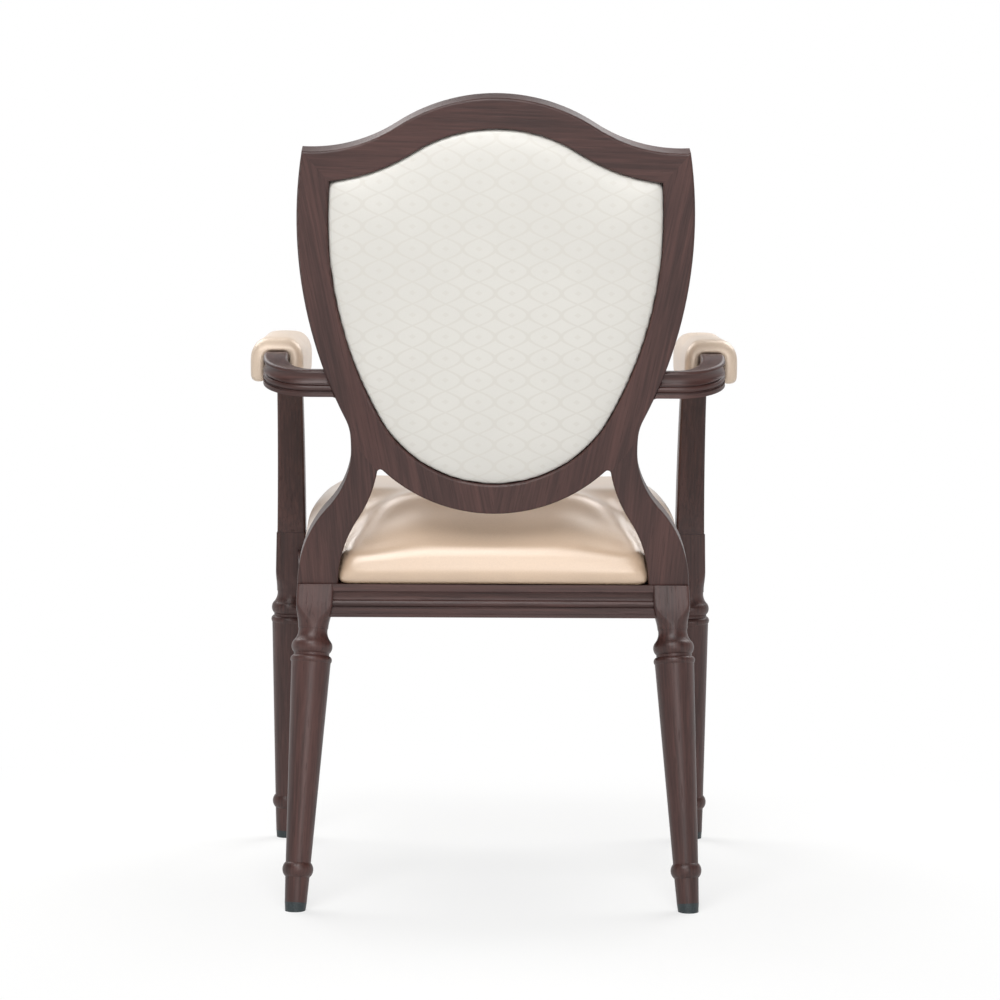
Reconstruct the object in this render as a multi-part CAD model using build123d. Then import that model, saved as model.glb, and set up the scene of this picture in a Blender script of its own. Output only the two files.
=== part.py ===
from build123d import *
from math import asin, atan, atan2, cos, degrees, hypot, radians, sin, sqrt
import os

# An armchair with a shield back, in millimetres. The chair faces -Y, stands on Z = 0 and is the same on
# both sides of X = 0. Left and right are the sitter's, so left is +X.

os.makedirs("parts", exist_ok=True)

# Seat frame and stance
RAIL_TOP = 397.5
RAIL_HEIGHT = 41.0
RAIL_DEPTH = 26.0
RAIL_WALL = 2.5
RAIL_SETBACK = 4.5
SIDE_RAIL_SETBACK = 28.0
REAR_FOOT_X = 242.0
REAR_FOOT_Y = 225.0
REAR_HIP_X = 220.0
REAR_HIP_Y = 147.0
FRONT_FOOT_X = 278.5
FRONT_FOOT_Y = -275.0
FRONT_HIP_X = 270.5
FRONT_HIP_Y = -265.0
FRONT_BLOCK_RISE = 23.5

# Moulding on the outer face of each seat rail, from the top down
RAIL_FILLET = 8.5
RAIL_STEP = 1.5
RAIL_COVE_DEPTH = 5.0
RAIL_BEAD = 9.0
RAIL_GROOVE = 1.5
RAIL_GROOVE_DEPTH = 4.0
RAIL_BAND = 7.0
RAIL_BAND_SETBACK = 1.8
RAIL_BASE = 4.0

# Leg turning: radii, and heights along the leg
BLOCK_WIDTH_REAR = 45.0
BLOCK_DEPTH_REAR = 42.0
BLOCK_SIDE_FRONT = 40.0
BLOCK_ROUND = 3.0
FLARE_HEIGHT = 30.0
FLARE_STEPS = 3
NECK_RADIUS = 18.2
NECK_STEP = 0.4
NECK_FLAT = 0.8
NECK_DROP = 57.0
COVE_HEIGHT = 15.0
COVE_HOLLOW = 19.0
BEAD_RADIUS = 25.4
BEAD_HEIGHT = 16.0
GROOVE_RADIUS = 22.0
GROOVE_HEIGHT = 3.0
SHOULDER_HEIGHT = 9.0
SHAFT_TOP_RADIUS = 24.4
SHAFT_FOOT_RADIUS = 15.6
RING_RADIUS = 18.8
RING_HEIGHT = 18.0
RING_BOTTOM = 41.0
ANKLE_RADIUS = 15.0
TOE_RADIUS = 13.6
LEG_WALL = 3.0

# Glides
GLIDE_HEIGHT = 10.0
GLIDE_STEM = 20.0
GLIDE_TAPER = 1.0
GLIDE_CLEARANCE = 0.1

# Shield back, drawn on its rear face: u runs along X, v up the recline from the top of the seat rails
RECLINE = 12.0
FRAME_FACE = 37.5
FRAME_DEPTH = 36.0
FRAME_WALL = 2.5
FRAME_ROUND = 3.0
SHIELD_HALF = 239.5
BOWL_INSET = 42.5
BOWL_BOTTOM = 91.0
SIDE_RISE = 168.6
CREST_APEX = 609.0
CREST_DROP = 66.0
CREST_LEVEL = 222.0
CREST_HUMP = 218.0

# Stiles between the shield and the rear legs
STILE_FOOT_WIDTH = 45.0
STILE_FOOT_FLARE = 5.5
STILE_WAIST_WIDTH = 34.6
STILE_SUNK = 19.1
STILE_WAIST = 173.0
STILE_HOLLOW_OUTER = 110.0
STILE_HOLLOW_INNER = 165.0
STILE_SHOULDER = 220.0
CROTCH_ROUND = 4.0
STILE_BLEND = 60.0

# Arms
ARM_TOP = 683.0
ARM_HEIGHT = 33.0
ARM_WIDTH = 30.0
ARM_HALF_SPREAD = 270.0
ARM_RISE = 18.0
ARM_BEND = 46.0
ARM_SWELL = 60.0
ARM_FRONT_Y = -232.0
ARM_WALL = 2.5
ARM_ROUND = 4.0
ARM_NOSE = 12.0
ARM_CROTCH = 12.0
ARM_COVE = 13.0
ARM_COVE_DEPTH = 2.5
ARM_BEAD = 8.0
ARM_GROOVE = 1.5
ARM_GROOVE_DEPTH = 2.5
POST_TOP_Y = -196.0
POST_WIDTH_TOP = 33.0
POST_WIDTH_FOOT = 38.0
POST_DEPTH_TOP = 31.0
POST_DEPTH_FOOT = 37.0
POST_WALL = 2.5
POST_ROUND = 3.0

# Seat cushion
COVER = 1.2
BOARD = 12.0
SEAT_OVERHANG_REAR = 1.0
SEAT_OVERHANG_FRONT = 9.0
SEAT_STILE_GAP = 1.0
SEAT_NOTCH_GAP = 3.0
SEAT_RAIL_GAP = 1.0
SEAT_BLOCK_GAP = 2.0
SEAT_TUCK = 2.5
SEAT_SWELL = 4.0
SEAT_CROWN = 85.0
SEAT_ROLL = 90.0
SEAT_SIDE_ROLL = 50.0
SEAT_CROWN_END = 84.0
SEAT_CORNER_REAR = 12.0
SEAT_CORNER_SIDE = 12.0
SEAT_CORNER_NOTCH = 8.0
SEAT_CORNER_FRONT = 34.0
SEAT_LIP = 24.0
DUST_COVER = 0.6
DUST_GAP = 0.3

# Seat fastening
GUSSET = 4.0
GUSSET_REACH_X = 150.0
GUSSET_REACH_Y = 150.0
GUSSET_BOLT_X = 60.0
GUSSET_BOLT_Y = 62.0
BOLT = 6.0
BOLT_HEAD = 12.0
BOLT_HEAD_HEIGHT = 4.0
BOLT_SPARE = 2.0
TEE_BARREL = 8.4
TEE_FLANGE = 19.0
TEE_FLANGE_HEIGHT = 1.6
TEE_LENGTH = 10.0
HOLE_CLEARANCE = 0.5
FIT_CLEARANCE = 0.1

# Back panels: n runs from the rear face of the shield towards the sitter
PANEL_GAP = 0.6
REAR_COVER_EDGE = 7.0
REAR_CROWN = 12.0
REAR_ROLL = 62.0
REAR_FOAM_EDGE = 6.0
REAR_BOARD = 3.0
TAB = 3.0
TAB_WIDTH = 34.0
TAB_MARGIN = 10.0
TAB_GAP = 3.5
FRONT_BOARD = 8.0
FRONT_FOAM_EDGE = 8.0
FRONT_CROWN = 26.0
FRONT_ROLL = 92.0
PANEL_SCREW = 4.2
PANEL_SCREW_HEAD = 8.0
PANEL_SCREW_HEAD_HEIGHT = 2.4
PANEL_SCREW_LENGTH = 9.0
PANEL_CLIP = 6.0
PANEL_CLIP_LENGTH = 8.5
PANEL_CLIP_FLANGE = 1.5
PANEL_LIP = 9.0
TAB_SCREW_SIDE = 9.0
TAB_CLEARANCE = 1.0
TAB_BOWL_SHARE = 0.46
TAB_SIDE_SHARES = (0.25, 0.78)

# Arm pads
PAD_LENGTH = 255.0
PAD_REAR_Y = 128.0
PAD_WIDTH = 65.0
PAD_OVER_RAIL = 17.0
PAD_UNDER_RAIL = 4.5
PAD_CORNER = 9.0
PAD_CROWN = 26.0
PAD_ROLL = 21.0
PAD_TUCK = 3.0
PAD_HEM = 6.0
PAD_GAP = 0.3
PAD_BOARD = 6.0
PAD_BOARD_INSET = 1.5
PAD_BOARD_END = 14.0
PAD_SCREW = 4.8
PAD_SCREW_HEAD = 9.5
PAD_SCREW_HEAD_HEIGHT = 3.0
PAD_SCREW_BITE = 4.5
PAD_SCREW_END = 55.0

CROWN_STEPS = 9
CROWN_END = 76.0
TOUCH = 0.01


nodes = {}


def save(name, shape):
    """Keeps one node until the whole chair is drawn."""
    nodes[name] = shape


def save_pair(name, shape):
    """Keeps a piece as the left node and its mirror image as the right one."""
    save(f"{name}_left", shape)
    save(f"{name}_right", mirror(shape, about=Plane.YZ))


def both(pieces):
    """Pieces and their mirror images, for one group node."""
    left = [solid for piece in pieces for solid in piece.solids()]
    right = [mirror(solid, about=Plane.YZ).solid() for solid in left]
    return Compound(left + right)


def arc(centre, start, end):
    """An arc of under a half circle about a centre."""
    radius = hypot(start[0] - centre[0], start[1] - centre[1])
    mid_x = start[0] + end[0] - 2 * centre[0]
    mid_y = start[1] + end[1] - 2 * centre[1]
    reach = radius / hypot(mid_x, mid_y)
    middle = (centre[0] + mid_x * reach, centre[1] + mid_y * reach)
    return ThreePointArc(start, middle, end)


def bulge(start, end, height):
    """An arc from start to end that swells to the left of its chord by a height."""
    dx = end[0] - start[0]
    dy = end[1] - start[1]
    chord = hypot(dx, dy)
    middle = ((start[0] + end[0]) / 2 - dy / chord * height, (start[1] + end[1]) / 2 + dx / chord * height)
    return ThreePointArc(start, middle, end)


def rise(face, height):
    """A flat outline raised straight up by a height."""
    return extrude(face, amount=height, dir=(0, 0, 1))


def cylinder_at(point, direction, radius, length):
    """A round bar from a point along a direction."""
    return extrude(Plane(origin=point, z_dir=direction) * Circle(radius), amount=length)


def slab(low, high, reach=2000.0):
    """Everything between two heights."""
    return Pos(0, 0, (low + high) / 2) * Box(reach, reach, high - low)


# Shield outline: hump, shoulders, sides and bowl, all tangent arcs but for the two top corners
bowl_radius = SHIELD_HALF - BOWL_INSET
bowl_centre = (0.0, BOWL_BOTTOM + bowl_radius)
side_radius = ((2 * SHIELD_HALF - BOWL_INSET) * BOWL_INSET + SIDE_RISE**2) / (2 * BOWL_INSET)
side_centre = (SHIELD_HALF - side_radius, bowl_centre[1] + SIDE_RISE)
hump_centre = (0.0, CREST_APEX - CREST_HUMP)
crest_slope = 2 * atan(CREST_DROP / CREST_LEVEL)
shoulder_radius = CREST_LEVEL / sin(crest_slope) - CREST_HUMP
shoulder_centre = (CREST_LEVEL, CREST_APEX - CREST_DROP + shoulder_radius)
side_lean = atan2(SIDE_RISE, side_radius - SHIELD_HALF)

# The stile's waist is sunk into the bowl's outline, and its foot stands over the rear leg
stile_foot_outer = REAR_HIP_X + STILE_FOOT_WIDTH / 2
stile_foot_inner = REAR_HIP_X - STILE_FOOT_WIDTH / 2 - STILE_FOOT_FLARE
stile_waist_inner = sqrt(bowl_radius**2 - (bowl_centre[1] - STILE_WAIST) ** 2) - STILE_SUNK
stile_waist_outer = stile_waist_inner + STILE_WAIST_WIDTH
stile_shoulder_x = stile_waist_outer + STILE_SHOULDER


def shield_corner(inset):
    """Top corner of the outline: where the shoulder arc meets the side arc."""
    first = shoulder_radius + inset
    second = side_radius - inset
    dx = side_centre[0] - shoulder_centre[0]
    dy = side_centre[1] - shoulder_centre[1]
    apart = hypot(dx, dy)
    along = (first**2 - second**2 + apart**2) / (2 * apart)
    across = sqrt(first**2 - along**2)
    u = shoulder_centre[0] + (dx * along - dy * across) / apart
    v = shoulder_centre[1] + (dy * along + dx * across) / apart
    return (u, v)


def shield_bowl_end(inset):
    """Where the bowl runs into the side arc."""
    bowl = bowl_radius - inset
    return (bowl * cos(side_lean), bowl_centre[1] - bowl * sin(side_lean))


def shield(inset):
    """The filled shield outline, moved inwards by an inset."""
    hump = CREST_HUMP - inset
    slope_end = (hump * sin(crest_slope), hump_centre[1] + hump * cos(crest_slope))
    corner = shield_corner(inset)
    bowl_end = shield_bowl_end(inset)
    right = [
        arc(shoulder_centre, slope_end, corner),
        arc(side_centre, corner, bowl_end),
    ]
    left = [mirror(edge, about=Plane.YZ) for edge in right]
    top = arc(hump_centre, (-slope_end[0], slope_end[1]), slope_end)
    bottom = arc(bowl_centre, (-bowl_end[0], bowl_end[1]), bowl_end)
    return make_face([top, *right, bottom, *left])


def stile(inset):
    """The left stile, run up inside the shield, with its edges moved in by an inset."""
    drop = FRAME_DEPTH
    reach = STILE_WAIST + BOWL_INSET
    outer_turn = 2 * atan((stile_foot_outer - stile_waist_outer) / STILE_WAIST)
    inner_turn = 2 * atan((stile_foot_inner - stile_waist_inner) / STILE_WAIST)
    outer_low = STILE_WAIST / sin(outer_turn) - STILE_HOLLOW_OUTER
    inner_low = STILE_WAIST / sin(inner_turn) - STILE_HOLLOW_INNER
    foot_outer = stile_foot_outer - inset
    foot_inner = stile_foot_inner + inset
    low_outer = (stile_foot_outer - outer_low, 0.0)
    low_inner = (stile_foot_inner - inner_low, 0.0)
    high_outer = (stile_waist_outer + STILE_HOLLOW_OUTER, STILE_WAIST)
    high_inner = (stile_waist_inner + STILE_HOLLOW_INNER, STILE_WAIST)
    top_centre = (stile_shoulder_x, STILE_WAIST)
    outer_mid = (
        low_outer[0] + (outer_low - inset) * cos(outer_turn),
        (outer_low - inset) * sin(outer_turn),
    )
    inner_mid = (
        low_inner[0] + (inner_low + inset) * cos(inner_turn),
        (inner_low + inset) * sin(inner_turn),
    )
    waist_outer = (stile_waist_outer - inset, STILE_WAIST)
    waist_inner = (stile_waist_inner + inset, STILE_WAIST)
    top_outer = (
        top_centre[0] - sqrt((STILE_SHOULDER + inset) ** 2 - (reach - STILE_WAIST) ** 2),
        reach,
    )
    edges = [
        Line((foot_outer, -drop), (foot_outer, 0)),
        arc(low_outer, (foot_outer, 0), outer_mid),
        arc(high_outer, outer_mid, waist_outer),
        arc(top_centre, waist_outer, top_outer),
        Line(top_outer, (waist_inner[0], reach)),
        Line((waist_inner[0], reach), waist_inner),
        arc(high_inner, waist_inner, inner_mid),
        arc(low_inner, inner_mid, (foot_inner, 0)),
        Line((foot_inner, 0), (foot_inner, -drop)),
        Line((foot_inner, -drop), (foot_outer, -drop)),
    ]
    return make_face(edges)


# Back frame: mitred at the crest corners, butted at the bottom of the bowl and scarfed to the stiles
rear_face_y = REAR_HIP_Y + FRAME_DEPTH / (2 * cos(radians(RECLINE)))
back = Plane(
    origin=(0, rear_face_y, RAIL_TOP),
    x_dir=(1, 0, 0),
    z_dir=(0, -cos(radians(RECLINE)), sin(radians(RECLINE))),
)
outer_corner = shield_corner(0)
inner_corner = shield_corner(FRAME_FACE)
mitre_u = 2 * outer_corner[0] - inner_corner[0]
mitre_v = 2 * outer_corner[1] - inner_corner[1]
crest_top = CREST_APEX + FRAME_FACE
crest_zone = make_face(
    Polyline(
        inner_corner,
        (mitre_u, mitre_v),
        (mitre_u, crest_top),
        (-mitre_u, crest_top),
        (-mitre_u, mitre_v),
        (-inner_corner[0], inner_corner[1]),
        close=True,
    )
)
left_zone = Pos(SHIELD_HALF, CREST_APEX / 2) * Rectangle(2 * SHIELD_HALF, 2 * CREST_APEX)
scarf_radius = bowl_radius + CROTCH_ROUND
scarf_top = shield_bowl_end(0)[1] + BOWL_INSET / 2
scarf_zone = Pos(SHIELD_HALF, scarf_top - CREST_APEX / 2) * Rectangle(2 * SHIELD_HALF, CREST_APEX)
scarf_zone = scarf_zone - Pos(*bowl_centre) * Circle(scarf_radius)


def rounded_bar(face):
    """A flat outline raised to the frame's depth, with its curved edges rounded front and rear."""
    raised = rise(face, FRAME_DEPTH)
    for end in (0, -1):
        rim = raised.edges().filter_by(GeomType.CIRCLE).group_by(Axis.Z)[end]
        raised = fillet(rim, radius=FRAME_ROUND)
    return raised


def tube_of(face):
    """The hollow of a bar whose outline is given."""
    return rise(Pos(0, 0, FRAME_WALL) * face, FRAME_DEPTH - 2 * FRAME_WALL)


ring_face = shield(0) - shield(FRAME_FACE)
ring_tube = tube_of(shield(FRAME_WALL) - shield(FRAME_FACE - FRAME_WALL))
half_face = (shield(0) + stile(0) - shield(FRAME_FACE) - crest_zone) & left_zone
crotch = [
    vertex
    for vertex in half_face.vertices()
    if abs(hypot(vertex.X, vertex.Y - bowl_centre[1]) - bowl_radius) < TOUCH
    and vertex.X > stile_waist_inner / 2
    and vertex.Y < STILE_WAIST
]
half_face = fillet(crotch, radius=CROTCH_ROUND)
stile_top = [
    vertex
    for vertex in half_face.vertices()
    if vertex.Y > STILE_WAIST + TOUCH
    and abs(hypot(vertex.X - stile_shoulder_x, vertex.Y - STILE_WAIST) - STILE_SHOULDER) < TOUCH
]
half_face = fillet(stile_top, radius=STILE_BLEND)
half = rounded_bar(half_face)
scarf_block = rise(Pos(0, 0, -FRAME_DEPTH) * scarf_zone, 3 * FRAME_DEPTH)
stile_tube = tube_of(stile(FRAME_WALL) - Pos(*bowl_centre) * Circle(scarf_radius + FRAME_WALL))
below_rails = slab(RAIL_TOP - 4 * FRAME_DEPTH, RAIL_TOP)
save("crest_rail", back * (rounded_bar(ring_face & crest_zone) - ring_tube))
save_pair("shield_side", back * (half - scarf_block - ring_tube))
save_pair("back_stile", back * ((half & scarf_block) - stile_tube) - below_rails)


def leg_profile(length):
    """Half of the leg's turning, from the toe to the neck, as radius and height."""
    ring_top = RING_BOTTOM + RING_HEIGHT
    neck = length - NECK_DROP
    bead_top = neck - COVE_HEIGHT
    bead_bottom = bead_top - BEAD_HEIGHT
    groove = bead_bottom - GROOVE_HEIGHT
    shaft_top = groove - SHOULDER_HEIGHT
    bead_rise = BEAD_RADIUS - GROOVE_RADIUS
    edges = [
        Line((0, GLIDE_HEIGHT), (TOE_RADIUS, GLIDE_HEIGHT)),
        Line((TOE_RADIUS, GLIDE_HEIGHT), (ANKLE_RADIUS, RING_BOTTOM)),
        bulge((ANKLE_RADIUS, RING_BOTTOM), (SHAFT_FOOT_RADIUS, ring_top), ANKLE_RADIUS - RING_RADIUS),
        Line((SHAFT_FOOT_RADIUS, ring_top), (SHAFT_TOP_RADIUS, shaft_top)),
        bulge((SHAFT_TOP_RADIUS, shaft_top), (GROOVE_RADIUS, groove), GROOVE_RADIUS - SHAFT_TOP_RADIUS),
        Line((GROOVE_RADIUS, groove), (GROOVE_RADIUS, bead_bottom)),
        bulge((GROOVE_RADIUS, bead_bottom), (GROOVE_RADIUS, bead_top), -bead_rise),
        RadiusArc((GROOVE_RADIUS, bead_top), (NECK_RADIUS, neck), COVE_HOLLOW),
        Line((NECK_RADIUS, neck), (0, neck)),
        Line((0, neck), (0, GLIDE_HEIGHT)),
    ]
    return edges


def neck_flare(neck, width, depth):
    """The part of a leg that swells from the round neck to the square block."""
    start = NECK_RADIUS + NECK_STEP
    sections = []
    for step in range(FLARE_STEPS + 1):
        share = step / FLARE_STEPS
        grown = share**2 * (3 - 2 * share)
        across = 2 * start + (width - 2 * start) * grown
        along = 2 * start + (depth - 2 * start) * grown
        corner = (start - NECK_FLAT) * (1 - grown) + BLOCK_ROUND * grown
        sections.append(Pos(0, 0, neck + FLARE_HEIGHT * share) * RectangleRounded(across, along, corner))
    return loft(sections)


def make_leg(foot, hip, width, depth, top):
    """A leg as its outer form and as the hollow piece, both cut off level at the top."""
    run = Vector(*hip) - Vector(*foot)
    length = run.length
    place = Plane(origin=foot, x_dir=(run.Z, 0, -run.X), z_dir=run)
    neck = length - NECK_DROP
    spare = 2 * (top - RAIL_TOP) + width
    turned = revolve(Plane.XZ * make_face(leg_profile(length)), Axis.Z)
    block_low = neck + FLARE_HEIGHT
    block_high = length + spare
    block = rise(Pos(0, 0, block_low) * RectangleRounded(width, depth, BLOCK_ROUND), block_high - block_low)
    outer = turned + neck_flare(neck, width, depth) + block
    stem = TOE_RADIUS - LEG_WALL
    shaft_bore = SHAFT_TOP_RADIUS - 2 * LEG_WALL
    shaft_top = neck - COVE_HEIGHT - BEAD_HEIGHT - GROOVE_HEIGHT - SHOULDER_HEIGHT
    bore = make_face(
        Polyline(
            (0, 0),
            (stem, 0),
            (stem, RING_BOTTOM + RING_HEIGHT),
            (shaft_bore, shaft_top),
            (NECK_RADIUS - LEG_WALL, neck - COVE_HEIGHT),
            (NECK_RADIUS - LEG_WALL, block_high),
            (0, block_high),
            close=True,
        )
    )
    pocket_gap = 2 * LEG_WALL + BLOCK_ROUND
    pocket = rise(
        Pos(0, 0, block_low) * Rectangle(width - pocket_gap, depth - pocket_gap), block_high - block_low
    )
    above = slab(top, top + 2 * spare)
    hollow = outer - revolve(Plane.XZ * bore, Axis.Z) - pocket
    glide = [
        Line((0, -TOE_RADIUS), (TOE_RADIUS - GLIDE_TAPER, -TOE_RADIUS)),
        Line((TOE_RADIUS - GLIDE_TAPER, -TOE_RADIUS), (TOE_RADIUS - GLIDE_TAPER, 0)),
        Line((TOE_RADIUS - GLIDE_TAPER, 0), (TOE_RADIUS, GLIDE_HEIGHT)),
        Line((TOE_RADIUS, GLIDE_HEIGHT), (stem - GLIDE_CLEARANCE, GLIDE_HEIGHT)),
        Line((stem - GLIDE_CLEARANCE, GLIDE_HEIGHT), (stem - GLIDE_CLEARANCE, GLIDE_HEIGHT + GLIDE_STEM)),
        Line((stem - GLIDE_CLEARANCE, GLIDE_HEIGHT + GLIDE_STEM), (0, GLIDE_HEIGHT + GLIDE_STEM)),
        Line((0, GLIDE_HEIGHT + GLIDE_STEM), (0, -TOE_RADIUS)),
    ]
    foot_pad = place * revolve(Plane.XZ * make_face(glide), Axis.Z) - slab(-4 * TOE_RADIUS, 0)
    return place * outer - above, place * hollow - above, foot_pad


front_block_top = RAIL_TOP + FRONT_BLOCK_RISE
rear_leg_form, rear_leg, rear_glide = make_leg(
    (REAR_FOOT_X, REAR_FOOT_Y, 0),
    (REAR_HIP_X, REAR_HIP_Y, RAIL_TOP),
    BLOCK_WIDTH_REAR,
    BLOCK_DEPTH_REAR,
    RAIL_TOP,
)
front_leg_form, front_leg, front_glide = make_leg(
    (FRONT_FOOT_X, FRONT_FOOT_Y, 0),
    (FRONT_HIP_X, FRONT_HIP_Y, RAIL_TOP),
    BLOCK_SIDE_FRONT,
    BLOCK_SIDE_FRONT,
    front_block_top,
)
save_pair("rear_leg", rear_leg)
save_pair("front_leg", front_leg)
save_pair("glide_rear", rear_glide)
save_pair("glide_front", front_glide)


def rail_section():
    """The moulded rail: its outer face at x = 0 and its foot at y = 0."""
    groove_low = RAIL_BASE + RAIL_BAND
    bead_low = groove_low + RAIL_GROOVE
    bead_high = bead_low + RAIL_BEAD
    cove_high = RAIL_HEIGHT - RAIL_FILLET
    edges = [
        Line((-RAIL_DEPTH, 0), (0, 0)),
        Line((0, 0), (0, RAIL_BASE)),
        Line((0, RAIL_BASE), (-RAIL_BAND_SETBACK, RAIL_BASE)),
        Line((-RAIL_BAND_SETBACK, RAIL_BASE), (-RAIL_BAND_SETBACK, groove_low)),
        Line((-RAIL_BAND_SETBACK, groove_low), (-RAIL_GROOVE_DEPTH, groove_low)),
        Line((-RAIL_GROOVE_DEPTH, groove_low), (-RAIL_GROOVE_DEPTH, bead_low)),
        bulge((-RAIL_GROOVE_DEPTH, bead_low), (-RAIL_COVE_DEPTH, bead_high), -RAIL_BEAD / 3),
        bulge((-RAIL_COVE_DEPTH, bead_high), (-RAIL_STEP, cove_high), RAIL_STEP),
        Line((-RAIL_STEP, cove_high), (0, cove_high)),
        Line((0, cove_high), (0, RAIL_HEIGHT)),
        Line((0, RAIL_HEIGHT), (-RAIL_DEPTH, RAIL_HEIGHT)),
        Line((-RAIL_DEPTH, RAIL_HEIGHT), (-RAIL_DEPTH, 0)),
    ]
    return make_face(edges)


def rail_bore():
    """The rail's hollow."""
    deepest = RAIL_COVE_DEPTH + RAIL_STEP + RAIL_WALL
    width = RAIL_DEPTH - RAIL_WALL - deepest
    height = RAIL_HEIGHT - 2 * RAIL_WALL
    return Pos(-deepest - width / 2, RAIL_HEIGHT / 2) * Rectangle(width, height)


def make_rail(start, end):
    """A rail between two points of its outer face, as its outer form and its hollow."""
    run = Vector(end[0] - start[0], end[1] - start[1], 0)
    across = Vector(-run.Y, run.X, 0)
    place = Plane(origin=(start[0], start[1], RAIL_TOP - RAIL_HEIGHT), x_dir=across, z_dir=run)
    return extrude(place * rail_section(), amount=run.length), extrude(place * rail_bore(), amount=run.length)


# Seat rails, each coped to the blocks of the two legs that it meets
rail_middle = RAIL_HEIGHT / 2 / RAIL_TOP
rear_axis_y = REAR_HIP_Y + (REAR_FOOT_Y - REAR_HIP_Y) * rail_middle
front_axis_y = FRONT_HIP_Y + (FRONT_FOOT_Y - FRONT_HIP_Y) * rail_middle
rear_rail_y = rear_axis_y + BLOCK_DEPTH_REAR / 2 - RAIL_SETBACK
front_rail_y = front_axis_y - BLOCK_SIDE_FRONT / 2 + RAIL_SETBACK
side_rail_rear_x = REAR_HIP_X + BLOCK_WIDTH_REAR / 2 - RAIL_SETBACK
side_rail_front_x = FRONT_HIP_X + BLOCK_SIDE_FRONT / 2 - SIDE_RAIL_SETBACK
rear_leg_forms = rear_leg_form + mirror(rear_leg_form, about=Plane.YZ)
front_leg_forms = front_leg_form + mirror(front_leg_form, about=Plane.YZ)
rear_rail_form, rear_rail_bore = make_rail((-REAR_HIP_X, rear_rail_y), (REAR_HIP_X, rear_rail_y))
front_rail_form, front_rail_bore = make_rail((FRONT_HIP_X, front_rail_y), (-FRONT_HIP_X, front_rail_y))
side_rail_form, side_rail_bore = make_rail(
    (side_rail_rear_x, REAR_HIP_Y), (side_rail_front_x, FRONT_HIP_Y)
)
save("rear_seat_rail", rear_rail_form - rear_rail_bore - rear_leg_forms)
save("front_seat_rail", front_rail_form - front_rail_bore - front_leg_forms)
side_rail = side_rail_form - side_rail_bore - rear_leg_form - front_leg_form - front_rail_form
save_pair("side_seat_rail", side_rail)


def make_gusset(hip_x, hip_y, inwards, forms):
    """A corner plate under the seat, with the centre of its bolt."""
    bolt = (hip_x - GUSSET_BOLT_X, hip_y + inwards * GUSSET_BOLT_Y)
    plate = rise(
        Pos(0, 0, RAIL_TOP - GUSSET)
        * make_face(
            Polyline(
                (hip_x, hip_y),
                (hip_x - GUSSET_REACH_X, hip_y),
                (hip_x, hip_y + inwards * GUSSET_REACH_Y),
                close=True,
            )
        ),
        GUSSET,
    )
    for form in forms:
        plate = plate - form
    hole = cylinder_at((*bolt, RAIL_TOP - 2 * GUSSET), (0, 0, 1), BOLT / 2 + HOLE_CLEARANCE, 3 * GUSSET)
    plate = plate - hole
    return plate.solids().sort_by(SortBy.VOLUME)[-1], bolt


rear_gusset, rear_bolt = make_gusset(
    REAR_HIP_X, REAR_HIP_Y, -1, (rear_rail_form, side_rail_form, rear_leg_form)
)
front_gusset, front_bolt = make_gusset(
    FRONT_HIP_X, FRONT_HIP_Y, 1, (front_rail_form, side_rail_form, front_leg_form)
)
save_pair("gusset_rear", rear_gusset)
save_pair("gusset_front", front_gusset)

# Seat cushion: a tongue between the stiles, notched around them, and a body that widens to the front posts
seat_rear = rear_rail_y + SEAT_OVERHANG_REAR
seat_front = front_rail_y - SEAT_OVERHANG_FRONT
tongue_half = stile_foot_inner
notch_y = rear_face_y - FRAME_DEPTH / cos(radians(RECLINE)) - SEAT_NOTCH_GAP
seat_half_rear = side_rail_rear_x - SEAT_RAIL_GAP
seat_half_front = FRONT_HIP_X - BLOCK_SIDE_FRONT / 2 - SEAT_BLOCK_GAP
seat_points = (
    (tongue_half, seat_rear, SEAT_CORNER_REAR),
    (tongue_half, notch_y, SEAT_CORNER_NOTCH),
    (seat_half_rear, notch_y, SEAT_CORNER_SIDE),
    (seat_half_front, seat_front, SEAT_CORNER_FRONT),
)


def seat_plan(inset, roll=0.0):
    """The seat's plan with its edges moved in by an inset and a roll, which is less at its fuller sides."""
    taper = (seat_half_front - seat_half_rear) / (notch_y - seat_front)
    lean = sqrt(1 + taper**2)
    end = inset + roll
    side = inset + roll * SEAT_SIDE_ROLL / SEAT_ROLL
    rear = seat_rear - end
    notch = notch_y - end
    front = seat_front + end
    tongue = tongue_half - side
    side_notch = seat_half_rear + taper * end - side * lean
    side_front = seat_half_front - taper * end - side * lean
    corners = [(tongue, rear), (tongue, notch), (side_notch, notch), (side_front, front)]
    mirrored = [(-x, y) for x, y in reversed(corners)]
    rounds = [size[2] for size in seat_points]
    return FilletPolyline(*corners, *mirrored, radius=rounds + rounds[::-1], close=True)


def crowned(section, levels):
    """A loft through outlines, each given by its insets and a height."""
    return loft([Pos(0, 0, height) * make_face(section(*insets)) for *insets, height in levels], ruled=True)


def crown_levels(inset, height, roll, crown, end=CROWN_END):
    """Levels of an edge that rolls over from upright to nearly flat, along a quarter of an ellipse."""
    levels = []
    for step in range(CROWN_STEPS + 1):
        turn = radians(end * step / CROWN_STEPS)
        levels.append((inset + roll * (1 - cos(turn)), height + crown * sin(turn)))
    return levels


def seat_crown(inset, height):
    """Levels of the seat's roll, each with the inset that it starts from."""
    rolls = crown_levels(0, height, SEAT_ROLL, SEAT_CROWN, SEAT_CROWN_END)
    return [(inset, roll, level) for roll, level in rolls]


def stile_room(gap):
    """The room that both stiles take up beside the seat, with a gap around them."""
    left = back * rise(Pos(0, 0, -FRAME_DEPTH) * stile(-gap), 2 * FRAME_DEPTH + gap)
    return left + mirror(left, about=Plane.YZ)


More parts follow.
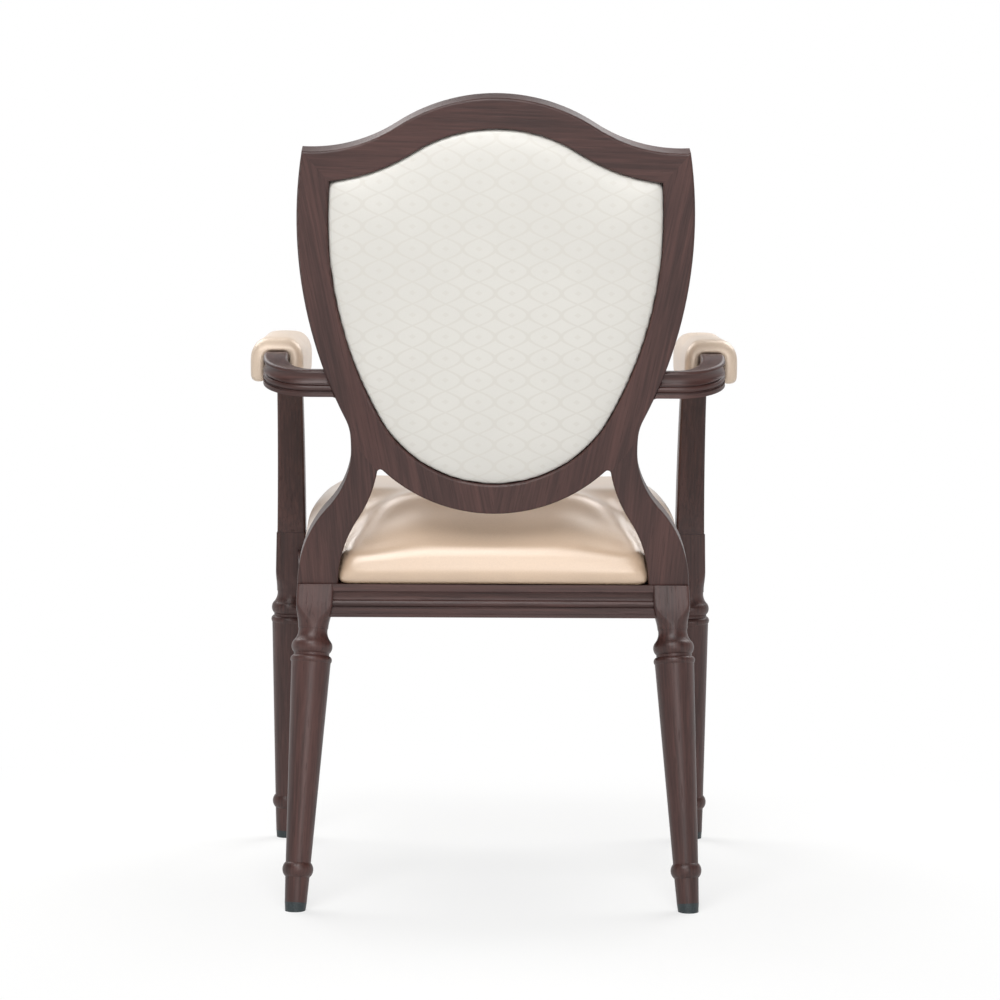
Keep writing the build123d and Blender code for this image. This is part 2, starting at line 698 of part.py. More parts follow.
board_low = RAIL_TOP + COVER
board_high = board_low + BOARD
swell = board_high + SEAT_SWELL
seat_form = crowned(
    seat_plan,
    [(SEAT_TUCK, RAIL_TOP), (SEAT_TUCK, board_high)] + seat_crown(0, swell),
)
foam_form = crowned(
    seat_plan,
    [(SEAT_TUCK + COVER, board_high)] + seat_crown(COVER, swell - COVER),
)
board_block = rise(Pos(0, 0, board_low) * make_face(seat_plan(SEAT_TUCK + COVER)), BOARD)
seat_form = seat_form - stile_room(SEAT_STILE_GAP)
foam_form = foam_form - stile_room(SEAT_STILE_GAP + COVER)
board_block = board_block - stile_room(SEAT_STILE_GAP + COVER)
lip_hole = rise(Pos(0, 0, RAIL_TOP) * make_face(seat_plan(SEAT_TUCK + SEAT_LIP)), COVER)
dust_plan = make_face(seat_plan(SEAT_TUCK + SEAT_LIP + DUST_GAP))
dust_sheet = rise(Pos(0, 0, board_low - DUST_COVER) * dust_plan, DUST_COVER)
seat_board = board_block
bolts = []
nuts = []
for x, y in (rear_bolt, front_bolt):
    nut_bore = cylinder_at((x, y, board_high - TEE_LENGTH), (0, 0, 1), BOLT / 2 + FIT_CLEARANCE, TEE_LENGTH)
    flange_z = board_high - TEE_FLANGE_HEIGHT
    barrel = cylinder_at((x, y, board_high - TEE_LENGTH), (0, 0, 1), TEE_BARREL / 2, TEE_LENGTH)
    flange = cylinder_at((x, y, flange_z), (0, 0, 1), TEE_FLANGE / 2, TEE_FLANGE_HEIGHT)
    nuts.append(barrel + flange - nut_bore)
    barrel_room = TEE_BARREL / 2 + FIT_CLEARANCE
    seat_hole = cylinder_at((x, y, RAIL_TOP), (0, 0, 1), barrel_room, board_high - RAIL_TOP)
    sunk = cylinder_at((x, y, flange_z), (0, 0, 1), TEE_FLANGE / 2 + FIT_CLEARANCE, TEE_FLANGE_HEIGHT)
    hole = seat_hole + sunk
    hole = hole + mirror(hole, about=Plane.YZ)
    seat_board = seat_board - hole
    dust_sheet = dust_sheet - hole
    head_z = RAIL_TOP - GUSSET - BOLT_HEAD_HEIGHT
    head = cylinder_at((x, y, head_z), (0, 0, 1), BOLT_HEAD / 2, BOLT_HEAD_HEIGHT)
    shank = cylinder_at((x, y, head_z), (0, 0, 1), BOLT / 2, board_high - BOLT_SPARE - head_z)
    bolts.append(head + shank)
save("seat_board", seat_board)
save("seat_foam", foam_form)
save("seat_cover", seat_form - foam_form - board_block - lip_hole)
save("seat_dust_cover", dust_sheet)
save("seat_bolts", both(bolts))
save("seat_tee_nuts", both(nuts))


# Arm rails: out from the shield, round a bend that climbs, and level to the front
arm_low = ARM_TOP - ARM_HEIGHT
arm_mid = ARM_TOP - ARM_HEIGHT / 2
joint_z = arm_mid - ARM_RISE
joint_v = (joint_z - RAIL_TOP - FRAME_DEPTH / 2 * sin(radians(RECLINE))) / cos(radians(RECLINE))
joint_y = rear_face_y + joint_v * sin(radians(RECLINE)) - FRAME_DEPTH / 2 * cos(radians(RECLINE))
joint_x = side_centre[0] + sqrt((side_radius - FRAME_FACE) ** 2 - (joint_v - side_centre[1]) ** 2)
bend_x = ARM_HALF_SPREAD - ARM_BEND
climb_reach = hypot(ARM_BEND, ARM_SWELL)
climb = atan2(ARM_SWELL, ARM_BEND) + asin((ARM_RISE - ARM_SWELL) / climb_reach)
forward = Vector(0, -cos(climb), sin(climb))
bend_end = Vector(bend_x, joint_y, joint_z) + Vector(ARM_BEND, 0, 0) + forward * ARM_BEND
half_turn = sin(radians(45))
bend_middle = Vector(bend_x + ARM_BEND * half_turn, joint_y, joint_z) + forward * (ARM_BEND * (1 - half_turn))


def swell_point(share):
    """A point of the arc that levels the arm off after its climb."""
    angle = climb * (1 - share)
    y = bend_end.Y - ARM_SWELL * (sin(climb) - sin(angle))
    z = bend_end.Z + ARM_SWELL * (cos(angle) - cos(climb))
    return Vector(ARM_HALF_SPREAD, y, z)


def arm_path(front_y):
    """The arm's centre line, from inside the shield's side to a front end."""
    level = swell_point(1)
    return Wire(
        [
            Line((joint_x, joint_y, joint_z), (bend_x, joint_y, joint_z)),
            ThreePointArc((bend_x, joint_y, joint_z), bend_middle, bend_end),
            ThreePointArc(bend_end, swell_point(0.5), level),
            Line(level, (ARM_HALF_SPREAD, front_y, level.Z)),
        ]
    )


def arm_section():
    """The arm's moulded section about its centre, with the outer face to the right."""
    side = ARM_WIDTH / 2
    top = ARM_HEIGHT / 2
    cove_high = top - ARM_ROUND
    cove_low = cove_high - ARM_COVE
    bead_high = cove_low - ARM_GROOVE
    bead_low = bead_high - ARM_BEAD
    cut = side - ARM_GROOVE_DEPTH
    base = bead_low - ARM_GROOVE
    edges = [
        Line((-side + ARM_ROUND, top), (side - ARM_ROUND, top)),
        RadiusArc((side - ARM_ROUND, top), (side, cove_high), ARM_ROUND),
        bulge((side, cove_high), (side, cove_low), -ARM_COVE_DEPTH),
        Line((side, cove_low), (cut, cove_low)),
        Line((cut, cove_low), (cut, bead_high)),
        bulge((cut, bead_high), (cut, bead_low), ARM_GROOVE_DEPTH),
        Line((cut, bead_low), (cut, base)),
        Line((cut, base), (side, base)),
        Line((side, base), (side, -top)),
        Line((side, -top), (-side, -top)),
        Line((-side, -top), (-side, top - ARM_ROUND)),
        RadiusArc((-side, top - ARM_ROUND), (-side + ARM_ROUND, top), ARM_ROUND),
    ]
    return make_face(edges)


def sweep_arm(section, front_y):
    """A section carried upright along the arm."""
    path = arm_path(front_y)
    place = Plane(origin=(joint_x, joint_y, joint_z), x_dir=(0, 1, 0), z_dir=(1, 0, 0))
    guide = path.moved(Pos(0, 0, ARM_HEIGHT))
    return sweep(place * section, path=path, binormal=guide)


arm_hollow_width = ARM_WIDTH - 2 * ARM_WALL - ARM_COVE_DEPTH
arm_bore_section = Pos(-ARM_COVE_DEPTH / 2, 0) * Rectangle(arm_hollow_width, ARM_HEIGHT - 2 * ARM_WALL)
shield_reach = back * rise(Pos(0, 0, -FRAME_DEPTH) * shield(0), 3 * FRAME_DEPTH)
arm_form = sweep_arm(arm_section(), ARM_FRONT_Y) - shield_reach
for face in (-1, 1):
    nose_centre = (ARM_HALF_SPREAD + face * (ARM_WIDTH / 2 - ARM_NOSE), ARM_FRONT_Y + ARM_NOSE)
    nose_box = Pos(face * ARM_NOSE, -ARM_NOSE) * Rectangle(2 * ARM_NOSE, 2 * ARM_NOSE)
    nose_cut = Pos(*nose_centre) * (nose_box - Circle(ARM_NOSE))
    arm_form = arm_form - rise(Pos(0, 0, arm_low - ARM_HEIGHT) * nose_cut, 3 * ARM_HEIGHT)
arm_rail = arm_form - sweep_arm(arm_bore_section, ARM_FRONT_Y + ARM_NOSE)

# A small web rounds the corner under each arm's joint
joint_low = joint_z - ARM_HEIGHT / 2
web_v = (joint_low - RAIL_TOP) * cos(radians(RECLINE)) + (joint_y - rear_face_y) * sin(radians(RECLINE))
web_x = side_centre[0] + sqrt(side_radius**2 - (web_v - side_centre[1]) ** 2) - FRAME_ROUND / 2
web_slope = (side_centre[1] - web_v) / (web_x - side_centre[0])
web_face = make_face(
    Polyline(
        (web_x, joint_low),
        (web_x + ARM_HEIGHT, joint_low),
        (web_x + ARM_HEIGHT, joint_z),
        (web_x - ARM_HEIGHT, joint_z),
        (web_x - ARM_HEIGHT, joint_low - ARM_CROTCH),
        (web_x - ARM_CROTCH * web_slope, joint_low - ARM_CROTCH),
        close=True,
    )
)
web_face = fillet(web_face.vertices().sort_by_distance((web_x, joint_low, 0))[0], radius=ARM_CROTCH)
web_plane = Plane(origin=(0, joint_y, 0), x_dir=(1, 0, 0), z_dir=(0, -1, 0))
web = extrude(web_plane * web_face, amount=ARM_WIDTH / 2 - ARM_ROUND, both=True)
web = (web - shield_reach - arm_form).solids().sort_by(SortBy.VOLUME)[-1]
arm_rail = arm_rail + web
arm_form = arm_form + web

# Arm posts: swept back from the front leg blocks, and narrower at the top
post_share = FRONT_BLOCK_RISE / RAIL_TOP
post_x = FRONT_HIP_X + (FRONT_HIP_X - FRONT_FOOT_X) * post_share
post_y = FRONT_HIP_Y + (FRONT_HIP_Y - FRONT_FOOT_Y) * post_share


def post_edge(foot_y, top_y):
    """An edge of the post that leaves its foot upright and sweeps to the rear."""
    back_run = top_y - foot_y
    height = arm_low - front_block_top
    radius = (back_run**2 + height**2) / (2 * back_run)
    return arc((foot_y + radius, front_block_top), (foot_y, front_block_top), (top_y, arm_low))


def post_form(inset):
    """The post with every face moved in by an inset."""
    foot = POST_DEPTH_FOOT / 2 - inset
    top = POST_DEPTH_TOP / 2 - inset
    front_edge = post_edge(post_y - foot, POST_TOP_Y - top)
    rear_edge = post_edge(post_y + foot, POST_TOP_Y + top)
    side_face = make_face(
        [
            front_edge,
            Line((POST_TOP_Y - top, arm_low), (POST_TOP_Y + top, arm_low)),
            rear_edge,
            Line((post_y + foot, front_block_top), (post_y - foot, front_block_top)),
        ]
    )
    foot_half = POST_WIDTH_FOOT / 2 - inset
    top_half = POST_WIDTH_TOP / 2 - inset
    front_face = make_face(
        Polyline(
            (post_x - foot_half, front_block_top),
            (post_x + foot_half, front_block_top),
            (ARM_HALF_SPREAD + top_half, arm_low),
            (ARM_HALF_SPREAD - top_half, arm_low),
            close=True,
        )
    )
    swept = extrude(Plane.YZ * side_face, amount=2 * ARM_HALF_SPREAD, dir=(1, 0, 0))
    tapered = extrude(Plane.XZ * front_face, amount=-FRONT_HIP_Y * 2, both=True)
    return swept & tapered


post = post_form(0)
upright_edges = [edge for edge in post.edges() if edge.length > 2 * POST_WIDTH_FOOT]
post = fillet(upright_edges, radius=POST_ROUND)
post = post - post_form(POST_WALL) - arm_form
save_pair("arm_post", post)

# Arm pads: saddles over the rails, each on a board that is screwed on from under the rail
pad_middle = PAD_REAR_Y - PAD_LENGTH / 2
pad_low = arm_low - PAD_UNDER_RAIL
pad_swell = ARM_TOP + PAD_OVER_RAIL - PAD_CROWN


def pad_plan(inset):
    """The pad's plan with every edge moved in by an inset."""
    outline = RectangleRounded(PAD_WIDTH - 2 * inset, PAD_LENGTH - 2 * inset, PAD_CORNER)
    return (Pos(ARM_HALF_SPREAD, pad_middle) * outline).edges()


pad_form = crowned(
    pad_plan,
    [(PAD_TUCK, pad_low), (0, pad_low + PAD_HEM)] + crown_levels(0, pad_swell, PAD_ROLL, PAD_CROWN),
)
pad_fill = crowned(
    pad_plan,
    [(PAD_TUCK + COVER, pad_low + COVER), (COVER, pad_low + PAD_HEM)]
    + crown_levels(COVER, pad_swell - COVER, PAD_ROLL, PAD_CROWN),
)
saddle = Pos(ARM_HALF_SPREAD, pad_middle, ARM_TOP - ARM_HEIGHT) * Box(
    ARM_WIDTH + 2 * PAD_GAP, 2 * PAD_LENGTH, 2 * ARM_HEIGHT
)
pad_board = Pos(ARM_HALF_SPREAD, pad_middle, ARM_TOP + PAD_BOARD / 2) * Box(
    ARM_WIDTH - 2 * PAD_BOARD_INSET, PAD_LENGTH - 2 * PAD_BOARD_END, PAD_BOARD
)
pad_foam = pad_fill - saddle - pad_board
pad_cover = pad_form - pad_fill - saddle
pad_screws = []
for screw_y in (PAD_REAR_Y - PAD_SCREW_END, PAD_REAR_Y - PAD_LENGTH + PAD_SCREW_END):
    screw_length = ARM_HEIGHT + PAD_SCREW_BITE
    at = (ARM_HALF_SPREAD, screw_y, arm_low)
    shank = cylinder_at(at, (0, 0, 1), PAD_SCREW / 2, screw_length)
    pad_screws.append(shank + cylinder_at(at, (0, 0, -1), PAD_SCREW_HEAD / 2, PAD_SCREW_HEAD_HEIGHT))
    arm_rail = arm_rail - cylinder_at(at, (0, 0, 1), PAD_SCREW / 2 + HOLE_CLEARANCE, ARM_HEIGHT)
    pad_board = pad_board - cylinder_at(at, (0, 0, 1), PAD_SCREW / 2 + FIT_CLEARANCE, screw_length)
save_pair("arm_rail", arm_rail)
save_pair("arm_pad_board", pad_board)
save_pair("arm_pad_foam", pad_foam)
save_pair("arm_pad_cover", pad_cover)
save("arm_pad_screws", both(pad_screws))


def panel_plan(inset):
    """The panels' outline inside the shield, moved in by an inset."""
    return shield(FRAME_FACE + PANEL_GAP + inset).edges()


# Back panels: a crowned rear panel clipped to the tabs, and the sitter's pad screwed to them
rear_board_rear = REAR_COVER_EDGE + REAR_FOAM_EDGE
rear_board_front = rear_board_rear + REAR_BOARD
rear_lip_front = rear_board_front + COVER
tab_rear = rear_lip_front + TAB_GAP
tab_front = tab_rear + TAB
front_board_rear = tab_front + COVER
front_board_front = front_board_rear + FRONT_BOARD
front_edge = front_board_front + FRONT_FOAM_EDGE
rear_form = crowned(
    panel_plan,
    [(0, rear_lip_front)] + crown_levels(0, REAR_COVER_EDGE, REAR_ROLL, -REAR_CROWN),
)
rear_foam = crowned(
    panel_plan,
    [(COVER, rear_board_rear)] + crown_levels(COVER, REAR_COVER_EDGE + COVER, REAR_ROLL, -REAR_CROWN),
)
front_form = crowned(
    panel_plan,
    [(0, tab_front)] + crown_levels(0, front_edge, FRONT_ROLL, FRONT_CROWN),
)
front_foam = crowned(
    panel_plan,
    [(COVER, front_board_front)] + crown_levels(COVER, front_edge - COVER, FRONT_ROLL, FRONT_CROWN),
)
board_outline = shield(FRAME_FACE + PANEL_GAP + COVER)
lip_outline = shield(FRAME_FACE + PANEL_GAP + PANEL_LIP)
rear_board = rise(Pos(0, 0, rear_board_rear) * board_outline, REAR_BOARD)
front_board = rise(Pos(0, 0, front_board_rear) * board_outline, FRONT_BOARD)
rear_cover = rear_form - rear_foam - rear_board - rise(Pos(0, 0, rear_board_front) * lip_outline, COVER)
front_cover = front_form - front_foam - front_board - rise(Pos(0, 0, tab_front) * lip_outline, COVER)


def tab_spot(centre, radius, turn):
    """A place on one arc of the shield's inner edge, with its x axis square to the edge."""
    return Pos(*centre) * Rot(0, 0, degrees(turn)) * Pos(radius - FRAME_FACE, 0)


corner_turn = atan2(inner_corner[1] - side_centre[1], inner_corner[0] - side_centre[0])
side_run = corner_turn + side_lean
bowl_turn = -TAB_BOWL_SHARE * side_lean - (1 - TAB_BOWL_SHARE) * radians(90)
tab_spots = [tab_spot(bowl_centre, bowl_radius, bowl_turn)]
for share in TAB_SIDE_SHARES:
    tab_spots.append(tab_spot(side_centre, side_radius, share * side_run - side_lean))
tab_hole = PANEL_GAP + PANEL_LIP + PANEL_CLIP + TAB_CLEARANCE
tab_reach = tab_hole + TAB_MARGIN
opening = shield(FRAME_FACE)
tabs = []
panel_screws = []
panel_clips = []
for spot in tab_spots:
    screw_spot = spot * Pos(-tab_hole, TAB_SCREW_SIDE)
    clip_spot = spot * Pos(-tab_hole, -TAB_SCREW_SIDE)
    plate = spot * Rectangle(2 * tab_reach, TAB_WIDTH) & opening
    plate = plate - screw_spot * Circle(PANEL_SCREW / 2 + HOLE_CLEARANCE)
    plate = plate - clip_spot * Circle(PANEL_CLIP / 2 + FIT_CLEARANCE)
    tabs.append(rise(Pos(0, 0, tab_rear) * plate, TAB))
    shank = rise(Pos(0, 0, tab_rear) * screw_spot * Circle(PANEL_SCREW / 2), PANEL_SCREW_LENGTH)
    head_low = tab_rear - PANEL_SCREW_HEAD_HEIGHT
    head = rise(Pos(0, 0, head_low) * screw_spot * Circle(PANEL_SCREW_HEAD / 2), PANEL_SCREW_HEAD_HEIGHT)
    panel_screws.append(shank + head)
    pilot_plan = Circle(PANEL_SCREW / 2 + FIT_CLEARANCE)
    pilot = rise(Pos(0, 0, tab_rear) * screw_spot * pilot_plan, PANEL_SCREW_LENGTH)
    pilot = pilot + mirror(pilot, about=Plane.YZ)
    front_board = front_board - pilot
    stud = rise(Pos(0, 0, rear_board_front) * clip_spot * Circle(PANEL_CLIP / 2), PANEL_CLIP_LENGTH)
    flange = rise(Pos(0, 0, rear_board_front) * clip_spot * Circle(PANEL_CLIP), PANEL_CLIP_FLANGE)
    panel_clips.append(stud + flange)
save("back_rear_board", back * rear_board)
save("back_rear_foam", back * rear_foam)
save("back_rear_cover", back * rear_cover)
save("back_front_board", back * front_board)
save("back_front_foam", back * front_foam)
save("back_front_cover", back * front_cover)
save("back_tabs", back * both(tabs))
save("back_screws", back * both(panel_screws))
save("back_clips", back * both(panel_clips))

# Every node is written with the origin on the floor, under the middle of the chair
boxes = [shape.bounding_box() for shape in nodes.values()]
middle_y = (min(box.min.Y for box in boxes) + max(box.max.Y for box in boxes)) / 2
for name, shape in nodes.items():
    export_step(Pos(0, -middle_y, 0) * shape, f"parts/{name}.step")
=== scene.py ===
from math import cos, pi, radians, sin

import bmesh
import bpy
from bpy.props import (
    FloatProperty,
    FloatVectorProperty,
    IntProperty,
    PointerProperty,
)
from bpy.types import Operator, Panel, PropertyGroup
from mathutils import Matrix, Vector
from mathutils.bvhtree import BVHTree


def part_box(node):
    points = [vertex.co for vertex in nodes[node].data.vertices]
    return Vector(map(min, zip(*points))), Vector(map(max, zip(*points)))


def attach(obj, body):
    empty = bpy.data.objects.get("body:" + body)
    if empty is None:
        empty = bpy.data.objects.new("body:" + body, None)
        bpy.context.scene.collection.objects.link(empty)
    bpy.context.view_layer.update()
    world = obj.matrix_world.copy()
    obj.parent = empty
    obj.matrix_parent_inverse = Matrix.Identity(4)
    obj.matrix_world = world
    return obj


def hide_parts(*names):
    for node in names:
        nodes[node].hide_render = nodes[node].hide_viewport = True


bl_info = {
    "name": "Shield-back Armchair",
    "version": (1, 0, 0),
    "blender": (4, 5, 0),
    "location": "3D View > Sidebar > Armchair",
    "description": "Wood-grain frame, vinyl cushions and studio for an armchair with a shield back",
    "category": "Object",
}

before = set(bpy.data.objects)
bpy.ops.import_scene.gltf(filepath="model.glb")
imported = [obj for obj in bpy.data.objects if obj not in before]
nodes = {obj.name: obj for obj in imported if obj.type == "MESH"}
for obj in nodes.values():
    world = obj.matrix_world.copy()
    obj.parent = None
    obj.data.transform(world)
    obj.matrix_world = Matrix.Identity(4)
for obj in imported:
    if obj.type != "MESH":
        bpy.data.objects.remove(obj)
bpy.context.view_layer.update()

# The shield leans back from the seat rails, and its panels are worked on upright
RECLINE = radians(12)
stand_upright = Matrix.Rotation(RECLINE, 4, "X")

# Arm rail, in metres: outer radius of its bend, and the radius along which its grain is measured
ARM_BEND = 0.061
ARM_BEND_GRAIN = 0.046

# Warm tone in the clouds of the wood grain
WARM_BROWN = (0.120, 0.048, 0.036, 1)

# Sheen of the vinyls
SEAT_SHEEN = {"pearl": 0.08, "gloss": 0.9, "lacquer": 1.0}
ARM_SHEEN = {"pearl": 0.12, "gloss": 0.4, "lacquer": 0.3}

# Cushions, in metres: how far past its board a cover is fully free, what subdividing takes off its skin,
# and the rounds of smoothing
SEAT_GIVE = 0.05
PANEL_GIVE = 0.02
ARM_PAD_GIVE = 0.006
SKIN_SPARE = 0.0008
ARM_SKIN_SPARE = 0.0006
SEAT_ROUNDS = 14
PANEL_ROUNDS = 8
ARM_PAD_ROUNDS = 2

# Seat, in metres and shares: its lower edge is pushed out, its rear corners drop, its rear edge rolls off
# and its underside clears the dust cloth
EDGE_PUSH = 0.002
EDGE_FADE = 0.016
CORNER_DROP = 0.30
CORNER_ACROSS = (0.07, 0.20)
CORNER_REARWARD = (0.03, 0.15)
ROLL_DROP = 0.045
ROLL_REARWARD = (0.04, 0.12)
SHEET_GAP = 0.0004

# Rear panel, in metres: depth of its rounded edge, how much that edge is lifted and where the lift starts
RIM_DEPTH = 0.012
RIM_LIFT = 0.0035
RIM_START = 0.006


def sides(name):
    """The names of a left piece and a right piece."""
    return f"{name}_left", f"{name}_right"


class ArmchairFinishes(PropertyGroup):
    """Colours and gloss of the frame and the vinyls."""

    grain_dark: FloatVectorProperty(
        name="Grain Dark",
        description="Colour of the dark streaks in the wood grain",
        default=(0.031, 0.0117, 0.0097),
        subtype="COLOR",
        min=0,
        max=1,
    )
    grain_light: FloatVectorProperty(
        name="Grain Light",
        description="Colour of the light streaks in the wood grain",
        default=(0.083, 0.0345, 0.029),
        subtype="COLOR",
        min=0,
        max=1,
    )
    frame_roughness: FloatProperty(
        name="Frame Roughness",
        description="Roughness of the clear coat between the pores",
        default=0.40,
        min=0,
        max=1,
        subtype="FACTOR",
    )
    seat_colour: FloatVectorProperty(
        name="Seat Colour",
        description="Champagne vinyl of the seat and of the pad that the sitter leans on",
        default=(0.64, 0.465, 0.325),
        subtype="COLOR",
        min=0,
        max=1,
    )
    arm_colour: FloatVectorProperty(
        name="Arm Pad Colour",
        description="Cream vinyl of the arm pads",
        default=(0.68, 0.545, 0.425),
        subtype="COLOR",
        min=0,
        max=1,
    )
    panel_colour: FloatVectorProperty(
        name="Rear Panel Colour",
        description="Off-white vinyl of the rear panel",
        default=(0.68, 0.662, 0.62),
        subtype="COLOR",
        min=0,
        max=1,
    )
    trellis_colour: FloatVectorProperty(
        name="Trellis Colour",
        description="Tone of the faint trellis on the rear panel",
        default=(0.626, 0.602, 0.555),
        subtype="COLOR",
        min=0,
        max=1,
    )
    trellis_width: FloatProperty(
        name="Trellis Width",
        description="Width of one cell of the trellis",
        default=0.040,
        min=0.01,
        unit="LENGTH",
    )
    trellis_height: FloatProperty(
        name="Trellis Height",
        description="Height of one cell of the trellis",
        default=0.052,
        min=0.01,
        unit="LENGTH",
    )


class ArmchairCushions(PropertyGroup):
    """How the padded pieces are blown up."""

    pressure: FloatProperty(
        name="Pressure",
        description="Pressure inside each cover while it is simulated",
        default=4.0,
        min=0,
    )
    steps: IntProperty(
        name="Steps",
        description="Frames of simulation for each cushion",
        default=20,
        min=1,
        max=60,
    )
    seat_grid: FloatProperty(
        name="Seat Grid",
        description="Size of the seat's faces before they are subdivided",
        default=0.006,
        min=0.003,
        unit="LENGTH",
    )
    panel_grid: FloatProperty(
        name="Panel Grid",
        description="Size of the back panels' faces before they are subdivided",
        default=0.0045,
        min=0.003,
        unit="LENGTH",
    )
    arm_grid: FloatProperty(
        name="Arm Pad Grid",
        description="Size of the arm pads' faces before they are subdivided",
        default=0.0035,
        min=0.002,
        unit="LENGTH",
    )
    seat_swell: FloatProperty(
        name="Seat Swell",
        description="Furthest that the seat's cover may move",
        default=0.006,
        min=0,
        unit="LENGTH",
    )
    panel_swell: FloatProperty(
        name="Panel Swell",
        description="Furthest that a back panel's cover may move",
        default=0.003,
        min=0,
        unit="LENGTH",
    )
    arm_swell: FloatProperty(
        name="Arm Pad Swell",
        description="Furthest that an arm pad's cover may move",
        default=0.002,
        min=0,
        unit="LENGTH",
    )


class ArmchairStudio(PropertyGroup):
    """Camera and lamps."""

    lens: FloatProperty(
        name="Lens",
        description="Focal length on a sensor 36 mm wide",
        default=127.5,
        min=10,
        subtype="DISTANCE_CAMERA",
    )
    distance: FloatProperty(
        name="Distance",
        description="Distance of the camera behind the origin",
        default=4.526,
        min=0.5,
        unit="LENGTH",
    )
    height: FloatProperty(
        name="Height",
        description="Height of the camera over the floor",
        default=0.885,
        min=0,
        unit="LENGTH",
    )
    aside: FloatProperty(
        name="Aside",
        description="Sideways place of the camera, to the sitter's left",
        default=0.0365,
        unit="LENGTH",
    )
    turn: FloatProperty(
        name="Turn",
        description="Turn of the camera about the upright, away from straight ahead",
        default=radians(-0.582),
        subtype="ANGLE",
    )
    pitch: FloatProperty(
        name="Pitch",
        description="Angle that the camera looks down",
        default=radians(5.01),
        subtype="ANGLE",
    )
    roll: FloatProperty(
        name="Roll",
        description="Turn of the camera about its own axis",
        default=radians(0.32),
        subtype="ANGLE",
    )
    key_power: FloatProperty(
        name="Key Lamp",
        description="Power of the lamp high behind the chair",
        default=65.0,
        min=0,
        subtype="POWER",
    )
    rear_power: FloatProperty(
        name="Rear Lamp",
        description="Power of the lamp low behind the chair, which shines on the legs and rails",
        default=28.0,
        min=0,
        subtype="POWER",
    )
    front_power: FloatProperty(
        name="Front Lamps",
        description="Power of each of the two lamps high in front of the chair",
        default=54.0,
        min=0,
        subtype="POWER",
    )
    sky: FloatProperty(
        name="Sky",
        description="Strength of the white surroundings",
        default=0.19,
        min=0,
    )


# Shader nodes


def add_node(tree, kind, **settings):
    """Adds a shader node with some of its settings."""
    node = tree.nodes.new(kind)
    for name, value in settings.items():
        setattr(node, name, value)
    return node


def feed(tree, socket, value):
    """Links a socket to another, or sets its value."""
    if isinstance(value, bpy.types.NodeSocket):
        tree.links.new(value, socket)
    else:
        socket.default_value = value


def calc(tree, operation, *values):
    """One step of arithmetic."""
    node = add_node(tree, "ShaderNodeMath", operation=operation)
    for socket, value in zip(node.inputs, values):
        feed(tree, socket, value)
    return node.outputs[0]


def stretch(tree, vector, factors):
    """A vector with each axis multiplied."""
    node = add_node(tree, "ShaderNodeVectorMath", operation="MULTIPLY")
    feed(tree, node.inputs[0], vector)
    feed(tree, node.inputs[1], factors)
    return node.outputs[0]


def noise(tree, vector, scale=1.0, detail=2.0, roughness=0.5, distortion=0.0):
    """Cloudy noise from 0 to 1."""
    node = add_node(tree, "ShaderNodeTexNoise")
    feed(tree, node.inputs["Vector"], vector)
    feed(tree, node.inputs["Scale"], scale)
    feed(tree, node.inputs["Detail"], detail)
    feed(tree, node.inputs["Roughness"], roughness)
    feed(tree, node.inputs["Distortion"], distortion)
    return node.outputs[0]


def cells(tree, vector, scale):
    """Distance to the nearest of scattered points."""
    node = add_node(tree, "ShaderNodeTexVoronoi")
    feed(tree, node.inputs["Vector"], vector)
    feed(tree, node.inputs["Scale"], scale)
    return node.outputs["Distance"]


def spread(tree, value, low, high, start=0.0, end=1.0):
    """A value from low to high, moved smoothly to the range from start to end."""
    node = add_node(tree, "ShaderNodeMapRange", interpolation_type="SMOOTHSTEP")
    for socket, given in zip(node.inputs, (value, low, high, start, end)):
        feed(tree, socket, given)
    return node.outputs[0]


def blend(tree, share, first, second, mode="MIX"):
    """A mix of two colours."""
    node = add_node(tree, "ShaderNodeMix", data_type="RGBA", blend_type=mode)
    feed(tree, node.inputs[0], share)
    feed(tree, node.inputs[6], first)
    feed(tree, node.inputs[7], second)
    return node.outputs[2]


def colour(values):
    """A colour with full opacity."""
    return (values[0], values[1], values[2], 1.0)


def start_group(name, inputs, outputs):
    """An empty shader group with named sockets."""
    tree = bpy.data.node_groups.new(name, "ShaderNodeTree")
    for label, kind in inputs:
        tree.interface.new_socket(label, in_out="INPUT", socket_type=kind)
    for label, kind in outputs:
        tree.interface.new_socket(label, in_out="OUTPUT", socket_type=kind)
    first = tree.nodes.new("NodeGroupInput")
    last = tree.nodes.new("NodeGroupOutput")
    return tree, first.outputs, last.inputs


def use_group(tree, group, **values):
    """Places a group in a material and feeds its sockets."""
    node = add_node(tree, "ShaderNodeGroup", node_tree=group)
    for label, value in values.items():
        feed(tree, node.inputs[label], value)
    return node.outputs


